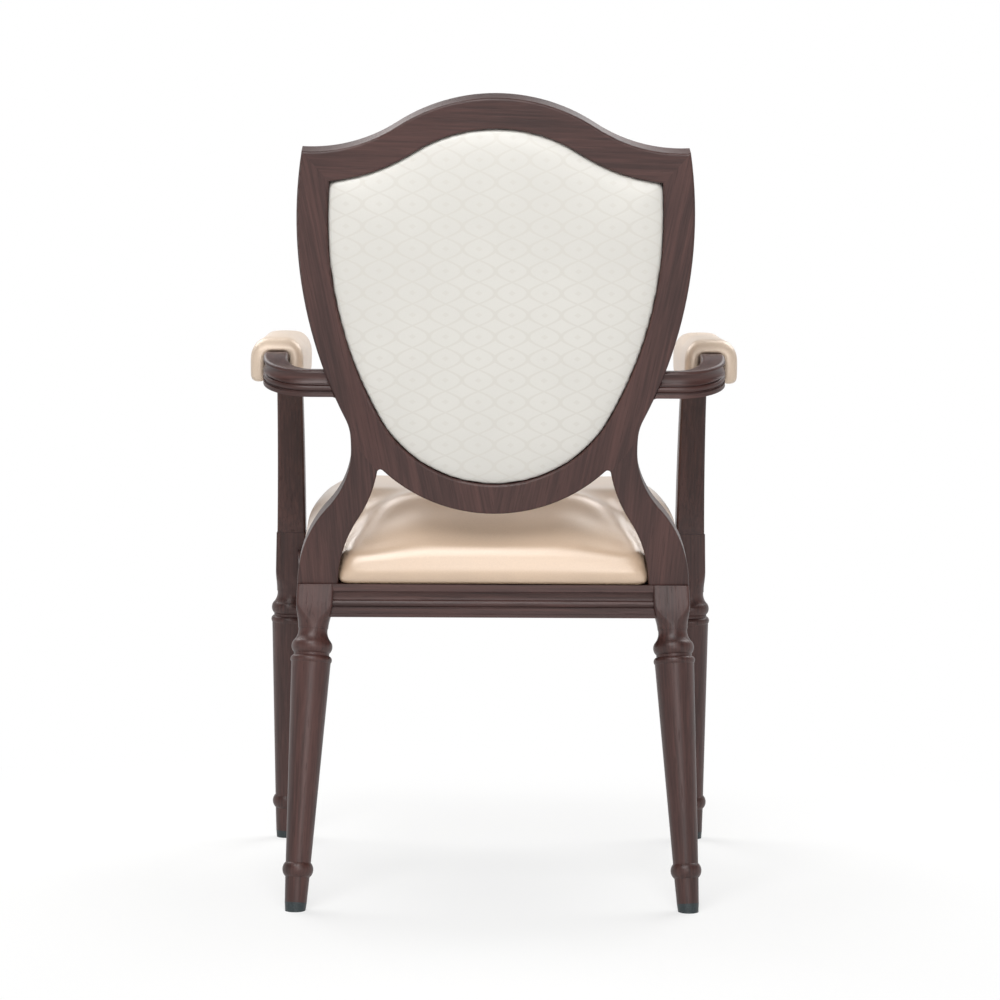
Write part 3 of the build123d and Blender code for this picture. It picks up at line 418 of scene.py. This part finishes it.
def wood_grain_group():
    """Straight grain along X: broad figure, fine fibres and short dark pores."""
    tree, given, made = start_group(
        "Wood Grain",
        [("Grain", "NodeSocketVector"), ("Dark", "NodeSocketColor"), ("Light", "NodeSocketColor")],
        [("Colour", "NodeSocketColor"), ("Pores", "NodeSocketFloat")],
    )
    place = given["Grain"]
    figure = noise(tree, stretch(tree, place, (2.4, 30, 30)), 1, 5, 0.58, 0.9)
    fibres = noise(tree, stretch(tree, place, (11, 330, 330)), 1, 4, 0.62)
    clouds = noise(tree, stretch(tree, place, (5, 9, 9)), 1, 2)
    pores = noise(tree, stretch(tree, place, (26, 620, 620)), 1, 2, 0.5)
    streak = calc(tree, "MULTIPLY", figure, 0.40)
    streak = calc(tree, "MULTIPLY_ADD", fibres, 0.42, streak)
    streak = calc(tree, "MULTIPLY_ADD", clouds, 0.18, streak)
    tone = spread(tree, streak, 0.36, 0.64)
    wood = blend(tree, tone, given["Dark"], given["Light"])
    warm = blend(tree, 0.35, wood, WARM_BROWN, "SOFT_LIGHT")
    wood = blend(tree, spread(tree, clouds, 0.45, 0.75), wood, warm)
    pits = spread(tree, pores, 0.60, 0.70)
    wood = blend(tree, calc(tree, "MULTIPLY", pits, 0.55), wood, given["Dark"])
    feed(tree, made["Colour"], wood)
    feed(tree, made["Pores"], calc(tree, "MULTIPLY_ADD", fibres, 0.35, pits))
    return tree


def arm_path_group():
    """Coordinates that follow an arm: along the run to the front, round the bend and in to the shield."""
    tree, given, made = start_group(
        "Along The Arm",
        [("Place", "NodeSocketVector"), ("Bend X", "NodeSocketFloat"), ("Bend Y", "NodeSocketFloat")],
        [("Grain", "NodeSocketVector")],
    )
    split = add_node(tree, "ShaderNodeSeparateXYZ")
    feed(tree, split.inputs[0], given["Place"])
    out = calc(tree, "SUBTRACT", calc(tree, "ABSOLUTE", split.outputs[0]), given["Bend X"])
    rear = calc(tree, "SUBTRACT", split.outputs[1], given["Bend Y"])
    past_out = calc(tree, "MAXIMUM", out, 0)
    past_rear = calc(tree, "MAXIMUM", rear, 0)
    turn = calc(tree, "ARCTAN2", past_rear, calc(tree, "ADD", past_out, 1e-6))
    across = calc(
        tree,
        "SQRT",
        calc(tree, "MULTIPLY_ADD", past_out, past_out, calc(tree, "MULTIPLY", past_rear, past_rear)),
    )
    along = calc(tree, "SUBTRACT", calc(tree, "MINIMUM", rear, 0), calc(tree, "MINIMUM", out, 0))
    along = calc(tree, "MULTIPLY_ADD", turn, ARM_BEND_GRAIN, along)
    join = add_node(tree, "ShaderNodeCombineXYZ")
    feed(tree, join.inputs[0], along)
    feed(tree, join.inputs[1], across)
    feed(tree, join.inputs[2], split.outputs[2])
    feed(tree, made["Grain"], join.outputs[0])
    return tree


def vinyl_skin_group():
    """Pearly vinyl: soft clouds in its tone and a fine pebbled grain."""
    tree, given, made = start_group(
        "Vinyl Skin",
        [("Place", "NodeSocketVector"), ("Colour", "NodeSocketColor"), ("Shade", "NodeSocketColor")],
        [("Colour", "NodeSocketColor"), ("Grain", "NodeSocketFloat"), ("Gloss", "NodeSocketFloat")],
    )
    place = given["Place"]
    clouds = noise(tree, place, 7, 3, 0.55)
    flecks = noise(tree, place, 520, 2, 0.6)
    tone = calc(tree, "MULTIPLY_ADD", flecks, 0.30, calc(tree, "MULTIPLY", clouds, 0.70))
    feed(tree, made["Colour"], blend(tree, spread(tree, tone, 0.38, 0.66), given["Shade"], given["Colour"]))
    pebbles = cells(tree, place, 1100)
    feed(tree, made["Grain"], calc(tree, "MULTIPLY_ADD", flecks, 0.4, pebbles))
    feed(tree, made["Gloss"], spread(tree, clouds, 0.3, 0.7, 0.36, 0.44))
    return tree


def speckle_group():
    """Fine mottling for the plain hidden materials."""
    tree, given, made = start_group(
        "Fine Speckle",
        [
            ("Place", "NodeSocketVector"),
            ("Size", "NodeSocketFloat"),
            ("Dark", "NodeSocketColor"),
            ("Light", "NodeSocketColor"),
        ],
        [("Colour", "NodeSocketColor"), ("Height", "NodeSocketFloat")],
    )
    value = noise(tree, given["Place"], given["Size"], 4, 0.6)
    feed(tree, made["Colour"], blend(tree, spread(tree, value, 0.35, 0.65), given["Dark"], given["Light"]))
    feed(tree, made["Height"], value)
    return tree


groups = {}


def shared(name, make):
    """A shader group, built once."""
    if name not in groups:
        groups[name] = make()
    return groups[name]


def start_material(name):
    """A material with its shader and the place on the piece."""
    material = bpy.data.materials.new(name)
    material.use_nodes = True
    tree = material.node_tree
    shader = tree.nodes["Principled BSDF"]
    place = add_node(tree, "ShaderNodeTexCoord").outputs["Object"]
    return material, tree, shader.inputs, place


def raise_bump(tree, surface, height, distance, strength=1.0):
    """Feeds a height to the shader's normal."""
    node = add_node(tree, "ShaderNodeBump")
    node.inputs["Strength"].default_value = strength
    node.inputs["Distance"].default_value = distance
    feed(tree, node.inputs["Height"], height)
    feed(tree, surface["Normal"], node.outputs[0])


def wood_material(name, along, shift, finishes, round_bend=None):
    """Printed walnut grain along a direction, under a satin clear coat."""
    material, tree, surface, place = start_material(name)
    if round_bend:
        path = shared("arm", arm_path_group)
        place = use_group(tree, path, Place=place, **round_bend)["Grain"]
    mapping = add_node(tree, "ShaderNodeMapping")
    feed(tree, mapping.inputs["Vector"], place)
    turn = Vector(along).rotation_difference(Vector((1, 0, 0))).to_euler()
    mapping.inputs["Rotation"].default_value = turn
    mapping.inputs["Location"].default_value = shift
    wood = use_group(
        tree,
        shared("wood", wood_grain_group),
        Grain=mapping.outputs[0],
        Dark=colour(finishes.grain_dark),
        Light=colour(finishes.grain_light),
    )
    feed(tree, surface["Base Color"], wood["Colour"])
    rough = finishes.frame_roughness
    feed(tree, surface["Roughness"], spread(tree, wood["Pores"], 0, 1.2, rough, rough + 0.16))
    surface["Specular IOR Level"].default_value = 0.46
    raise_bump(tree, surface, calc(tree, "SUBTRACT", 1.0, wood["Pores"]), 0.00012, 0.55)
    return material


def vinyl_material(name, tint, pearl, gloss, lacquer):
    """Pearl vinyl of one colour."""
    material, tree, surface, place = start_material(name)
    dull = [channel * 0.90 for channel in tint]
    skin = use_group(
        tree, shared("vinyl", vinyl_skin_group), Place=place, Colour=colour(tint), Shade=colour(dull)
    )
    feed(tree, surface["Base Color"], skin["Colour"])
    feed(tree, surface["Roughness"], skin["Gloss"])
    surface["Metallic"].default_value = pearl
    surface["Specular IOR Level"].default_value = gloss
    surface["Coat Weight"].default_value = lacquer
    surface["Coat Roughness"].default_value = 0.34
    raise_bump(tree, surface, skin["Grain"], 0.00008, 0.5)
    return material


def trellis_material(name, finishes):
    """Off-white vinyl with a faint trellis of two crossing waves and a lozenge in each cell."""
    material, tree, surface, place = start_material(name)
    mapping = add_node(tree, "ShaderNodeMapping")
    feed(tree, mapping.inputs["Vector"], place)
    mapping.inputs["Rotation"].default_value = (-RECLINE, 0, 0)
    mapping.inputs["Scale"].default_value = (1 / finishes.trellis_width, 1, 1 / finishes.trellis_height)
    split = add_node(tree, "ShaderNodeSeparateXYZ")
    feed(tree, split.inputs[0], mapping.outputs[0])
    across, upright = split.outputs[0], split.outputs[2]
    wave = calc(tree, "MULTIPLY", calc(tree, "SINE", calc(tree, "MULTIPLY", upright, 2 * pi)), 0.5)
    lines = None
    for operation in ("ADD", "SUBTRACT"):
        place_in_cell = calc(tree, "FRACT", calc(tree, operation, across, wave))
        off = calc(tree, "ABSOLUTE", calc(tree, "SUBTRACT", place_in_cell, 0.5))
        line = spread(tree, off, 0.045, 0.085, 1, 0)
        lines = line if lines is None else calc(tree, "MAXIMUM", lines, line)
    half_row = calc(tree, "FRACT", calc(tree, "MULTIPLY", upright, 2))
    lift = calc(tree, "ABSOLUTE", calc(tree, "SUBTRACT", half_row, 0.5))
    side = calc(tree, "ABSOLUTE", calc(tree, "SUBTRACT", calc(tree, "FRACT", across), 0.5))
    lozenge = spread(tree, calc(tree, "ADD", side, lift), 0.10, 0.13, 1, 0)
    lines = calc(tree, "MAXIMUM", lines, calc(tree, "MULTIPLY", lozenge, 0.8))
    tint = finishes.panel_colour
    plain = [channel * 0.96 for channel in tint]
    skin = use_group(
        tree, shared("vinyl", vinyl_skin_group), Place=place, Colour=colour(tint), Shade=colour(plain)
    )
    tone = blend(tree, calc(tree, "MULTIPLY", lines, 0.8), skin["Colour"], colour(finishes.trellis_colour))
    feed(tree, surface["Base Color"], tone)
    feed(tree, surface["Roughness"], skin["Gloss"])
    surface["Metallic"].default_value = 0.05
    surface["Coat Weight"].default_value = 0.08
    surface["Coat Roughness"].default_value = 0.25
    raise_bump(tree, surface, skin["Grain"], 0.00006, 0.5)
    return material


def speckled_material(name, dark, light, size, rough, metal=0.0, squeeze=(1, 1, 1), depth=0.0002):
    """A plain material with fine mottling."""
    material, tree, surface, place = start_material(name)
    mapping = add_node(tree, "ShaderNodeMapping")
    feed(tree, mapping.inputs["Vector"], place)
    mapping.inputs["Scale"].default_value = squeeze
    skin = use_group(
        tree,
        shared("speckle", speckle_group),
        Place=mapping.outputs[0],
        Size=size,
        Dark=colour(dark),
        Light=colour(light),
    )
    feed(tree, surface["Base Color"], skin["Colour"])
    feed(tree, surface["Roughness"], spread(tree, skin["Height"], 0.2, 0.8, rough - 0.06, rough + 0.06))
    surface["Metallic"].default_value = metal
    raise_bump(tree, surface, skin["Height"], depth, 0.5)
    return material


def paint(material, *names):
    """Gives CAD nodes a material."""
    for name in names:
        mesh = nodes[name].data
        mesh.materials.clear()
        mesh.materials.append(material)


# Cushions


def soft_copy(name, sources, turn=None):
    """A new piece whose mesh joins copies of CAD solids, turned if asked."""
    shape = bmesh.new()
    for source in sources:
        shape.from_mesh(nodes[source].data)
    bmesh.ops.remove_doubles(shape, verts=shape.verts, dist=1e-6)
    if turn:
        bmesh.ops.transform(shape, matrix=turn, verts=shape.verts)
    mesh = bpy.data.meshes.new(name)
    shape.to_mesh(mesh)
    shape.free()
    piece = bpy.data.objects.new(name, mesh)
    bpy.context.scene.collection.objects.link(piece)
    return piece


def bake(piece):
    """Makes what the modifiers give the piece's own mesh."""
    graph = bpy.context.evaluated_depsgraph_get()
    made = bpy.data.meshes.new_from_object(piece.evaluated_get(graph))
    piece.modifiers.clear()
    made.name = piece.name
    old = piece.data
    piece.data = made
    bpy.data.meshes.remove(old)


def grid_over(piece, size):
    """Covers the joined solids with one even skin, and keeps only its largest shell."""
    cover = piece.modifiers.new("Even Skin", "REMESH")
    cover.mode = "VOXEL"
    cover.voxel_size = size
    bake(piece)
    shape = bmesh.new()
    shape.from_mesh(piece.data)
    left = set(shape.verts)
    shells = []
    while left:
        edge = [left.pop()]
        shell = list(edge)
        while edge:
            near = [e.other_vert(v) for v in edge for e in v.link_edges]
            edge = [v for v in set(near) if v in left]
            left.difference_update(edge)
            shell.extend(edge)
        shells.append(shell)
    shells.sort(key=len)
    for shell in shells[:-1]:
        bmesh.ops.delete(shape, geom=shell, context="VERTS")
    shape.to_mesh(piece.data)
    shape.free()


def blow_up(piece, freedom, cap, cushions):
    """Swells a skin with cloth under pressure. Freedom gives how far a point is from being held."""
    mesh = piece.data
    held = piece.vertex_groups.new(name="held")
    free = [min(1.0, max(0.0, freedom(vertex.co))) for vertex in mesh.vertices]
    for vertex in mesh.vertices:
        held.add([vertex.index], 1.0 - free[vertex.index], "REPLACE")
    rest = [vertex.co.copy() for vertex in mesh.vertices]
    cloth = piece.modifiers.new("Cover", "CLOTH")
    settings = cloth.settings
    settings.quality = 5
    settings.mass = 0.3
    settings.tension_stiffness = 20
    settings.compression_stiffness = 20
    settings.shear_stiffness = 10
    settings.bending_stiffness = 2
    settings.use_pressure = True
    settings.uniform_pressure_force = cushions.pressure
    settings.vertex_group_mass = "held"
    settings.effector_weights.gravity = 0
    cloth.collision_settings.use_collision = False
    cloth.collision_settings.use_self_collision = False
    cloth.point_cache.frame_start = 1
    cloth.point_cache.frame_end = cushions.steps
    for step in range(1, cushions.steps + 1):
        bpy.context.scene.frame_set(step)
    bake(piece)
    bpy.context.scene.frame_set(1)
    mesh = piece.data
    for vertex in mesh.vertices:
        moved = vertex.co - rest[vertex.index]
        reach = cap * free[vertex.index]
        if moved.length > reach:
            moved = moved * (reach / moved.length)
        vertex.co = rest[vertex.index] + moved
    piece.vertex_groups.clear()


def soften(piece, rounds, chosen=None):
    """Smooths a skin a little, all over or at the chosen points."""
    shape = bmesh.new()
    shape.from_mesh(piece.data)
    points = [v for v in shape.verts if chosen is None or chosen(v.co)]
    for _ in range(rounds):
        bmesh.ops.smooth_vert(
            shape, verts=points, factor=0.5, use_axis_x=True, use_axis_y=True, use_axis_z=True
        )
    shape.to_mesh(piece.data)
    shape.free()


def ease(value, low, high):
    """Goes smoothly from 0 at low to 1 at high."""
    share = min(1.0, max(0.0, (value - low) / (high - low)))
    return share * share * (3 - 2 * share)


def fill_out(piece, low, high, axes, spare):
    """Moves a skin out along its normals to the size of the solid, and by what subdividing takes off."""
    shape = bmesh.new()
    shape.from_mesh(piece.data)
    shape.normal_update()
    ways = [v.normal.copy() for v in shape.verts]
    for axis in axes:
        places = [v.co[axis] for v in shape.verts]
        reach = ((high[axis] - low[axis]) - (max(places) - min(places))) / 2
        for v, way in zip(shape.verts, ways):
            v.co[axis] += (max(reach, 0) + spare) * way[axis]
    shape.to_mesh(piece.data)
    shape.free()


def raise_rim(piece, rim, top):
    """Lifts the edge of the rear panel nearly flush with the shield."""
    for vertex in piece.data.vertices:
        depth = vertex.co.y
        share = (top - depth) / (top - rim) if depth > rim else ease(depth, rim - RIM_START, rim)
        vertex.co.y += RIM_LIFT * share


def shape_seat(piece, bottom, board_top, crown_top):
    """Pushes out the seat's lower edge, drops its rear corners and rolls off its rear edge."""
    for vertex in piece.data.vertices:
        place = vertex.co
        push = 1 - ease(place.z, board_top - 0.001, board_top + EDGE_FADE)
        place += EDGE_PUSH * push * vertex.normal
        place.z = max(place.z, bottom + 0.0002)
        if place.z > board_top:
            corner = ease(abs(place.x), *CORNER_ACROSS) * ease(place.y, *CORNER_REARWARD)
            place.z -= CORNER_DROP * corner * (place.z - board_top)
            height = (place.z - board_top) / (crown_top - board_top)
            place.z -= ROLL_DROP * height * height * (1 - height) * ease(place.y, *ROLL_REARWARD)


def clear_sheet(piece, sheet_name, board_top, graph):
    """Keeps the seat's underside off the sheet under it."""
    sheet = BVHTree.FromObject(nodes[sheet_name], graph)
    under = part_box(sheet_name)[1].z + SHEET_GAP
    for vertex in piece.data.vertices:
        if vertex.co.z < board_top - 0.001:
            ray_start = Vector((vertex.co.x, vertex.co.y, 0.2))
            if sheet.ray_cast(ray_start, Vector((0, 0, 1)), 0.3)[0] is not None:
                vertex.co.z = max(vertex.co.z, under)


def close_up(piece, material, replaced):
    """Finishes a cushion: subdivided, smooth, painted and tied to the frame."""
    finer = piece.modifiers.new("Finer", "SUBSURF")
    finer.levels = 1
    finer.render_levels = 1
    bake(piece)
    mesh = piece.data
    mesh.shade_smooth()
    mesh.materials.clear()
    mesh.materials.append(material)
    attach(piece, "root")
    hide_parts(*replaced)


class ARMCHAIR_OT_frame(Operator):
    """Gives every piece of the frame its walnut grain, along the piece"""

    bl_idname = "armchair.frame"
    bl_label = "Wood-grain Frame"

    def execute(self, context):
        finishes = context.scene.armchair_finishes
        up = (0, sin(RECLINE), cos(RECLINE))
        leans = [
            ("Crest Grain", (1, 0, 0.03), ["crest_rail"]),
            ("Rail Grain Across", (1, 0, 0), ["rear_seat_rail", "front_seat_rail"]),
        ]
        for side, name in ((1, "left"), (-1, "right")):
            word = name.title()
            leans += [
                (f"Shield Grain {word}", (side * 0.2, up[1], up[2]), [f"shield_side_{name}"]),
                (f"Stile Grain {word}", (side * 0.08, up[1], up[2]), [f"back_stile_{name}"]),
                (f"Rear Leg Grain {word}", (side * -22, -78, 402.5), [f"rear_leg_{name}"]),
                (f"Front Leg Grain {word}", (side * -6, 10, 402.5), [f"front_leg_{name}"]),
                (f"Post Grain {word}", (0, 68, 229), [f"arm_post_{name}"]),
                (f"Side Rail Grain {word}", (side * 47, -412, 0), [f"side_seat_rail_{name}"]),
            ]
        for turn, (label, along, names) in enumerate(leans):
            shift = (0.37 * turn, 0.11 * turn, 0.07 * turn)
            paint(wood_material(label, along, shift, finishes), *names)
        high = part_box("arm_rail_left")[1]
        bend = {"Bend X": high.x - ARM_BEND, "Bend Y": high.y - ARM_BEND}
        for name in sides("arm_rail"):
            shift = (0.5 if name.endswith("left") else 0.9, 0.2, 0.1)
            paint(wood_material(f"Arm Grain {name[9:].title()}", (1, 0, 0), shift, finishes, bend), name)
        return {"FINISHED"}


class ARMCHAIR_OT_fittings(Operator):
    """Finishes the glides, boards, plates and fasteners"""

    bl_idname = "armchair.fittings"
    bl_label = "Fittings and Boards"

    def execute(self, context):
        glide = speckled_material("Glide Plastic", (0.012, 0.020, 0.022), (0.030, 0.042, 0.046), 700, 0.46)
        paint(glide, *sides("glide_front"), *sides("glide_rear"))
        ply = speckled_material(
            "Raw Plywood", (0.36, 0.23, 0.12), (0.58, 0.42, 0.26), 1, 0.72, squeeze=(6, 160, 900)
        )
        paint(ply, "seat_board", "back_front_board", *sides("arm_pad_board"))
        hardboard = speckled_material("Raw Hardboard", (0.10, 0.06, 0.035), (0.20, 0.12, 0.07), 420, 0.75)
        paint(hardboard, "back_rear_board")
        cloth = speckled_material("Dust Cloth", (0.008, 0.008, 0.009), (0.026, 0.026, 0.028), 900, 0.9)
        paint(cloth, "seat_dust_cover")
        coat = speckled_material("Brown Coat", (0.040, 0.024, 0.020), (0.060, 0.036, 0.030), 600, 0.5)
        paint(coat, *sides("gusset_front"), *sides("gusset_rear"), "back_tabs")
        steel = speckled_material("Plated Steel", (0.42, 0.42, 0.43), (0.62, 0.62, 0.61), 300, 0.34, 1.0)
        paint(steel, "seat_bolts", "seat_tee_nuts", "arm_pad_screws", "back_screws")
        nylon = speckled_material("Nylon", (0.55, 0.54, 0.50), (0.70, 0.69, 0.65), 300, 0.5)
        paint(nylon, "back_clips")
        return {"FINISHED"}


class ARMCHAIR_OT_seat(Operator):
    """Makes the crowned seat cushion over its board"""

    bl_idname = "armchair.seat"
    bl_label = "Seat Cushion"

    def execute(self, context):
        cushions = context.scene.armchair_cushions
        finishes = context.scene.armchair_finishes
        soft = ("seat_cover", "seat_foam")
        piece = soft_copy("seat_cushion", (*soft, "seat_board"))
        grid_over(piece, cushions.seat_grid)
        low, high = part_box("seat_cover")
        board_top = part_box("seat_board")[1].z
        blow_up(piece, lambda co: (co.z - board_top) / SEAT_GIVE, cushions.seat_swell, cushions)
        soften(piece, SEAT_ROUNDS, lambda co: co.z > board_top - 0.002)
        fill_out(piece, low, high, (0, 1), SKIN_SPARE)
        shape_seat(piece, low.z, board_top, high.z)
        clear_sheet(piece, "seat_dust_cover", board_top, context.evaluated_depsgraph_get())
        vinyl = vinyl_material("Seat Vinyl", finishes.seat_colour, **SEAT_SHEEN)
        close_up(piece, vinyl, soft)
        return {"FINISHED"}


class ARMCHAIR_OT_back(Operator):
    """Makes the rear panel and the pad that the sitter leans on"""

    bl_idname = "armchair.back"
    bl_label = "Back Panels"

    def execute(self, context):
        cushions = context.scene.armchair_cushions
        finishes = context.scene.armchair_finishes
        trellis = trellis_material("Rear Panel Vinyl", finishes)
        vinyl = vinyl_material("Back Pad Vinyl", finishes.seat_colour, **SEAT_SHEEN)
        coverings = {"rear": (trellis, "back_vinyl", 1), "front": (vinyl, "seat_vinyl", -1)}
        for face, (material, slot, out) in coverings.items():
            soft = (f"back_{face}_cover", f"back_{face}_foam")
            piece = soft_copy(f"back_{face}_panel", (*soft, f"back_{face}_board"), stand_upright)
            board = [stand_upright @ vertex.co for vertex in nodes[f"back_{face}_board"].data.vertices]
            cover = [stand_upright @ vertex.co for vertex in nodes[f"back_{face}_cover"].data.vertices]
            near = max(point.y * out for point in board)
            grid_over(piece, cushions.panel_grid)
            blow_up(piece, lambda co: (co.y * out - near) / PANEL_GIVE, cushions.panel_swell, cushions)
            soften(piece, PANEL_ROUNDS, lambda co: co.y * out > near)
            cover_low = [min(point[axis] for point in cover) for axis in range(3)]
            cover_high = [max(point[axis] for point in cover) for axis in range(3)]
            fill_out(piece, cover_low, cover_high, (0, 2), SKIN_SPARE)
            if face == "rear":
                raise_rim(piece, cover_high[1] - RIM_DEPTH, cover_high[1])
            piece.data.transform(stand_upright.inverted())
            close_up(piece, material, soft)
        return {"FINISHED"}


class ARMCHAIR_OT_arm_pads(Operator):
    """Makes the two pads that sit astride the arm rails"""

    bl_idname = "armchair.arm_pads"
    bl_label = "Arm Pads"

    def execute(self, context):
        cushions = context.scene.armchair_cushions
        finishes = context.scene.armchair_finishes
        material = vinyl_material("Arm Pad Vinyl", finishes.arm_colour, **ARM_SHEEN)
        for name in ("left", "right"):
            soft = (f"arm_pad_cover_{name}", f"arm_pad_foam_{name}")
            piece = soft_copy(f"arm_pad_{name}", (*soft, f"arm_pad_board_{name}"))
            grid_over(piece, cushions.arm_grid)
            low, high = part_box(f"arm_pad_board_{name}")
            middle = (low.x + high.x) / 2
            half = (high.x - low.x) / 2 + 0.003

            def freedom(co):
                over = (co.z - high.z) / ARM_PAD_GIVE
                beside = (abs(co.x - middle) - half) / ARM_PAD_GIVE
                return max(over, min(beside, (co.z - low.z + 0.03) / 0.01))

            blow_up(piece, freedom, cushions.arm_swell, cushions)
            soften(piece, ARM_PAD_ROUNDS)
            fill_out(piece, *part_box(soft[0]), (0, 1, 2), ARM_SKIN_SPARE)
            close_up(piece, material, soft)
        return {"FINISHED"}


# Studio


def seen_directly(tree):
    """1 for rays from the camera and for reflected or transmitted ones, and 0 for the rest."""
    rays = add_node(tree, "ShaderNodeLightPath").outputs
    seen = calc(tree, "MAXIMUM", rays["Is Camera Ray"], rays["Is Glossy Ray"])
    return calc(tree, "MAXIMUM", seen, rays["Is Transmission Ray"])


def floor_material():
    """Pale floor that keeps the chair's shadow and turns white further out."""
    material, tree, surface, place = start_material("Pale Floor")
    reach = add_node(tree, "ShaderNodeVectorMath", operation="LENGTH")
    feed(tree, reach.inputs[0], place)
    far = spread(tree, reach.outputs["Value"], 0.4, 1.1, 0.62, 1)
    seen = seen_directly(tree)
    mottle = noise(tree, place, 3, 2)
    pale = blend(tree, mottle, (0.86, 0.86, 0.85, 1), (0.90, 0.90, 0.89, 1))
    feed(tree, surface["Base Color"], pale)
    surface["Roughness"].default_value = 0.7
    glow = add_node(tree, "ShaderNodeEmission")
    mix = add_node(tree, "ShaderNodeMixShader")
    feed(tree, mix.inputs[0], calc(tree, "MULTIPLY", far, seen))
    feed(tree, mix.inputs[1], tree.nodes["Principled BSDF"].outputs[0])
    feed(tree, mix.inputs[2], glow.outputs[0])
    feed(tree, tree.nodes["Material Output"].inputs["Surface"], mix.outputs[0])
    return material


def lay_floor(scene):
    """Lays the floor under the chair."""
    shape = bmesh.new()
    bmesh.ops.create_grid(shape, x_segments=1, y_segments=1, size=9)
    mesh = bpy.data.meshes.new("floor")
    shape.to_mesh(mesh)
    shape.free()
    floor = bpy.data.objects.new("floor", mesh)
    scene.collection.objects.link(floor)
    mesh.materials.append(floor_material())


def surround_with_white(scene, strength):
    """White surroundings: full white where seen low down, and the given strength elsewhere."""
    world = bpy.data.worlds.new("White Studio")
    scene.world = world
    world.use_nodes = True
    tree = world.node_tree
    sky = tree.nodes["Background"]
    sky.inputs["Color"].default_value = (1, 1, 1, 1)
    seen = seen_directly(tree)
    split = add_node(tree, "ShaderNodeSeparateXYZ")
    feed(tree, split.inputs[0], add_node(tree, "ShaderNodeTexCoord").outputs["Generated"])
    wall = spread(tree, split.outputs[2], 0.12, 0.5, 1.0, strength)
    feed(tree, sky.inputs["Strength"], spread(tree, seen, 0, 1, strength, wall))


def hang_lamps(scene, studio):
    """Hangs the square lamps, all turned to the middle of the chair."""
    aim = Vector((0, 0, 0.5))
    lamps = [
        ("key_lamp", (0.4, 2.15, 2.8), 1.8, studio.key_power),
        ("rear_lamp", (-0.3, 3.6, 1.3), 1.4, studio.rear_power),
        ("front_lamp_left", (1.5, -1.5, 2.6), 2.0, studio.front_power),
        ("front_lamp_right", (-1.5, -1.5, 2.6), 2.0, studio.front_power),
    ]
    for name, spot, size, power in lamps:
        data = bpy.data.lights.new(name, "AREA")
        data.shape = "SQUARE"
        data.size = size
        data.energy = power
        lamp = bpy.data.objects.new(name, data)
        lamp.location = spot
        lamp.rotation_euler = (aim - Vector(spot)).to_track_quat("-Z", "Y").to_euler()
        scene.collection.objects.link(lamp)


def place_camera(scene, studio):
    """Places the camera behind the chair, as in the photograph."""
    data = bpy.data.cameras.new("camera")
    data.sensor_width = 36
    data.lens = studio.lens
    data.clip_end = 50
    camera = bpy.data.objects.new("camera", data)
    turn = Matrix.Rotation(pi + studio.turn, 4, "Z") @ Matrix.Rotation(pi / 2 - studio.pitch, 4, "X")
    turn = turn @ Matrix.Rotation(studio.roll, 4, "Z")
    camera.matrix_world = Matrix.Translation((studio.aside, studio.distance, studio.height)) @ turn
    scene.collection.objects.link(camera)
    scene.camera = camera


class ARMCHAIR_OT_studio(Operator):
    """Sets the floor, the lamps, the white surroundings and the camera"""

    bl_idname = "armchair.studio"
    bl_label = "Studio"

    def execute(self, context):
        scene = context.scene
        studio = scene.armchair_studio
        lay_floor(scene)
        surround_with_white(scene, studio.sky)
        hang_lamps(scene, studio)
        place_camera(scene, studio)
        scene.view_settings.view_transform = "Standard"
        return {"FINISHED"}


class ARMCHAIR_PT_sidebar(Panel):
    """Lists the steps that dress the armchair"""

    bl_idname = "ARMCHAIR_PT_sidebar"
    bl_label = "Armchair"
    bl_space_type = "VIEW_3D"
    bl_region_type = "UI"
    bl_category = "Armchair"

    def draw(self, context):
        for settings in ("armchair_finishes", "armchair_cushions", "armchair_studio"):
            box = self.layout.box()
            group = getattr(context.scene, settings)
            for name in group.__annotations__:
                box.prop(group, name)
        for step in steps:
            self.layout.operator(step.bl_idname)


property_groups = {
    "armchair_finishes": ArmchairFinishes,
    "armchair_cushions": ArmchairCushions,
    "armchair_studio": ArmchairStudio,
}
steps = (
    ARMCHAIR_OT_frame,
    ARMCHAIR_OT_fittings,
    ARMCHAIR_OT_seat,
    ARMCHAIR_OT_back,
    ARMCHAIR_OT_arm_pads,
    ARMCHAIR_OT_studio,
)


def register():
    for name, group in property_groups.items():
        bpy.utils.register_class(group)
        setattr(bpy.types.Scene, name, PointerProperty(type=group))
    for step in steps:
        bpy.utils.register_class(step)
    bpy.utils.register_class(ARMCHAIR_PT_sidebar)


def unregister():
    bpy.utils.unregister_class(ARMCHAIR_PT_sidebar)
    for step in reversed(steps):
        bpy.utils.unregister_class(step)
    for name, group in property_groups.items():
        delattr(bpy.types.Scene, name)
        bpy.utils.unregister_class(group)


def main():
    """Dresses the armchair step by step."""
    register()
    bpy.ops.armchair.frame()
    bpy.ops.armchair.fittings()
    bpy.ops.armchair.seat()
    bpy.ops.armchair.back()
    bpy.ops.armchair.arm_pads()
    bpy.ops.armchair.studio()


if __name__ == "__main__":
    main()
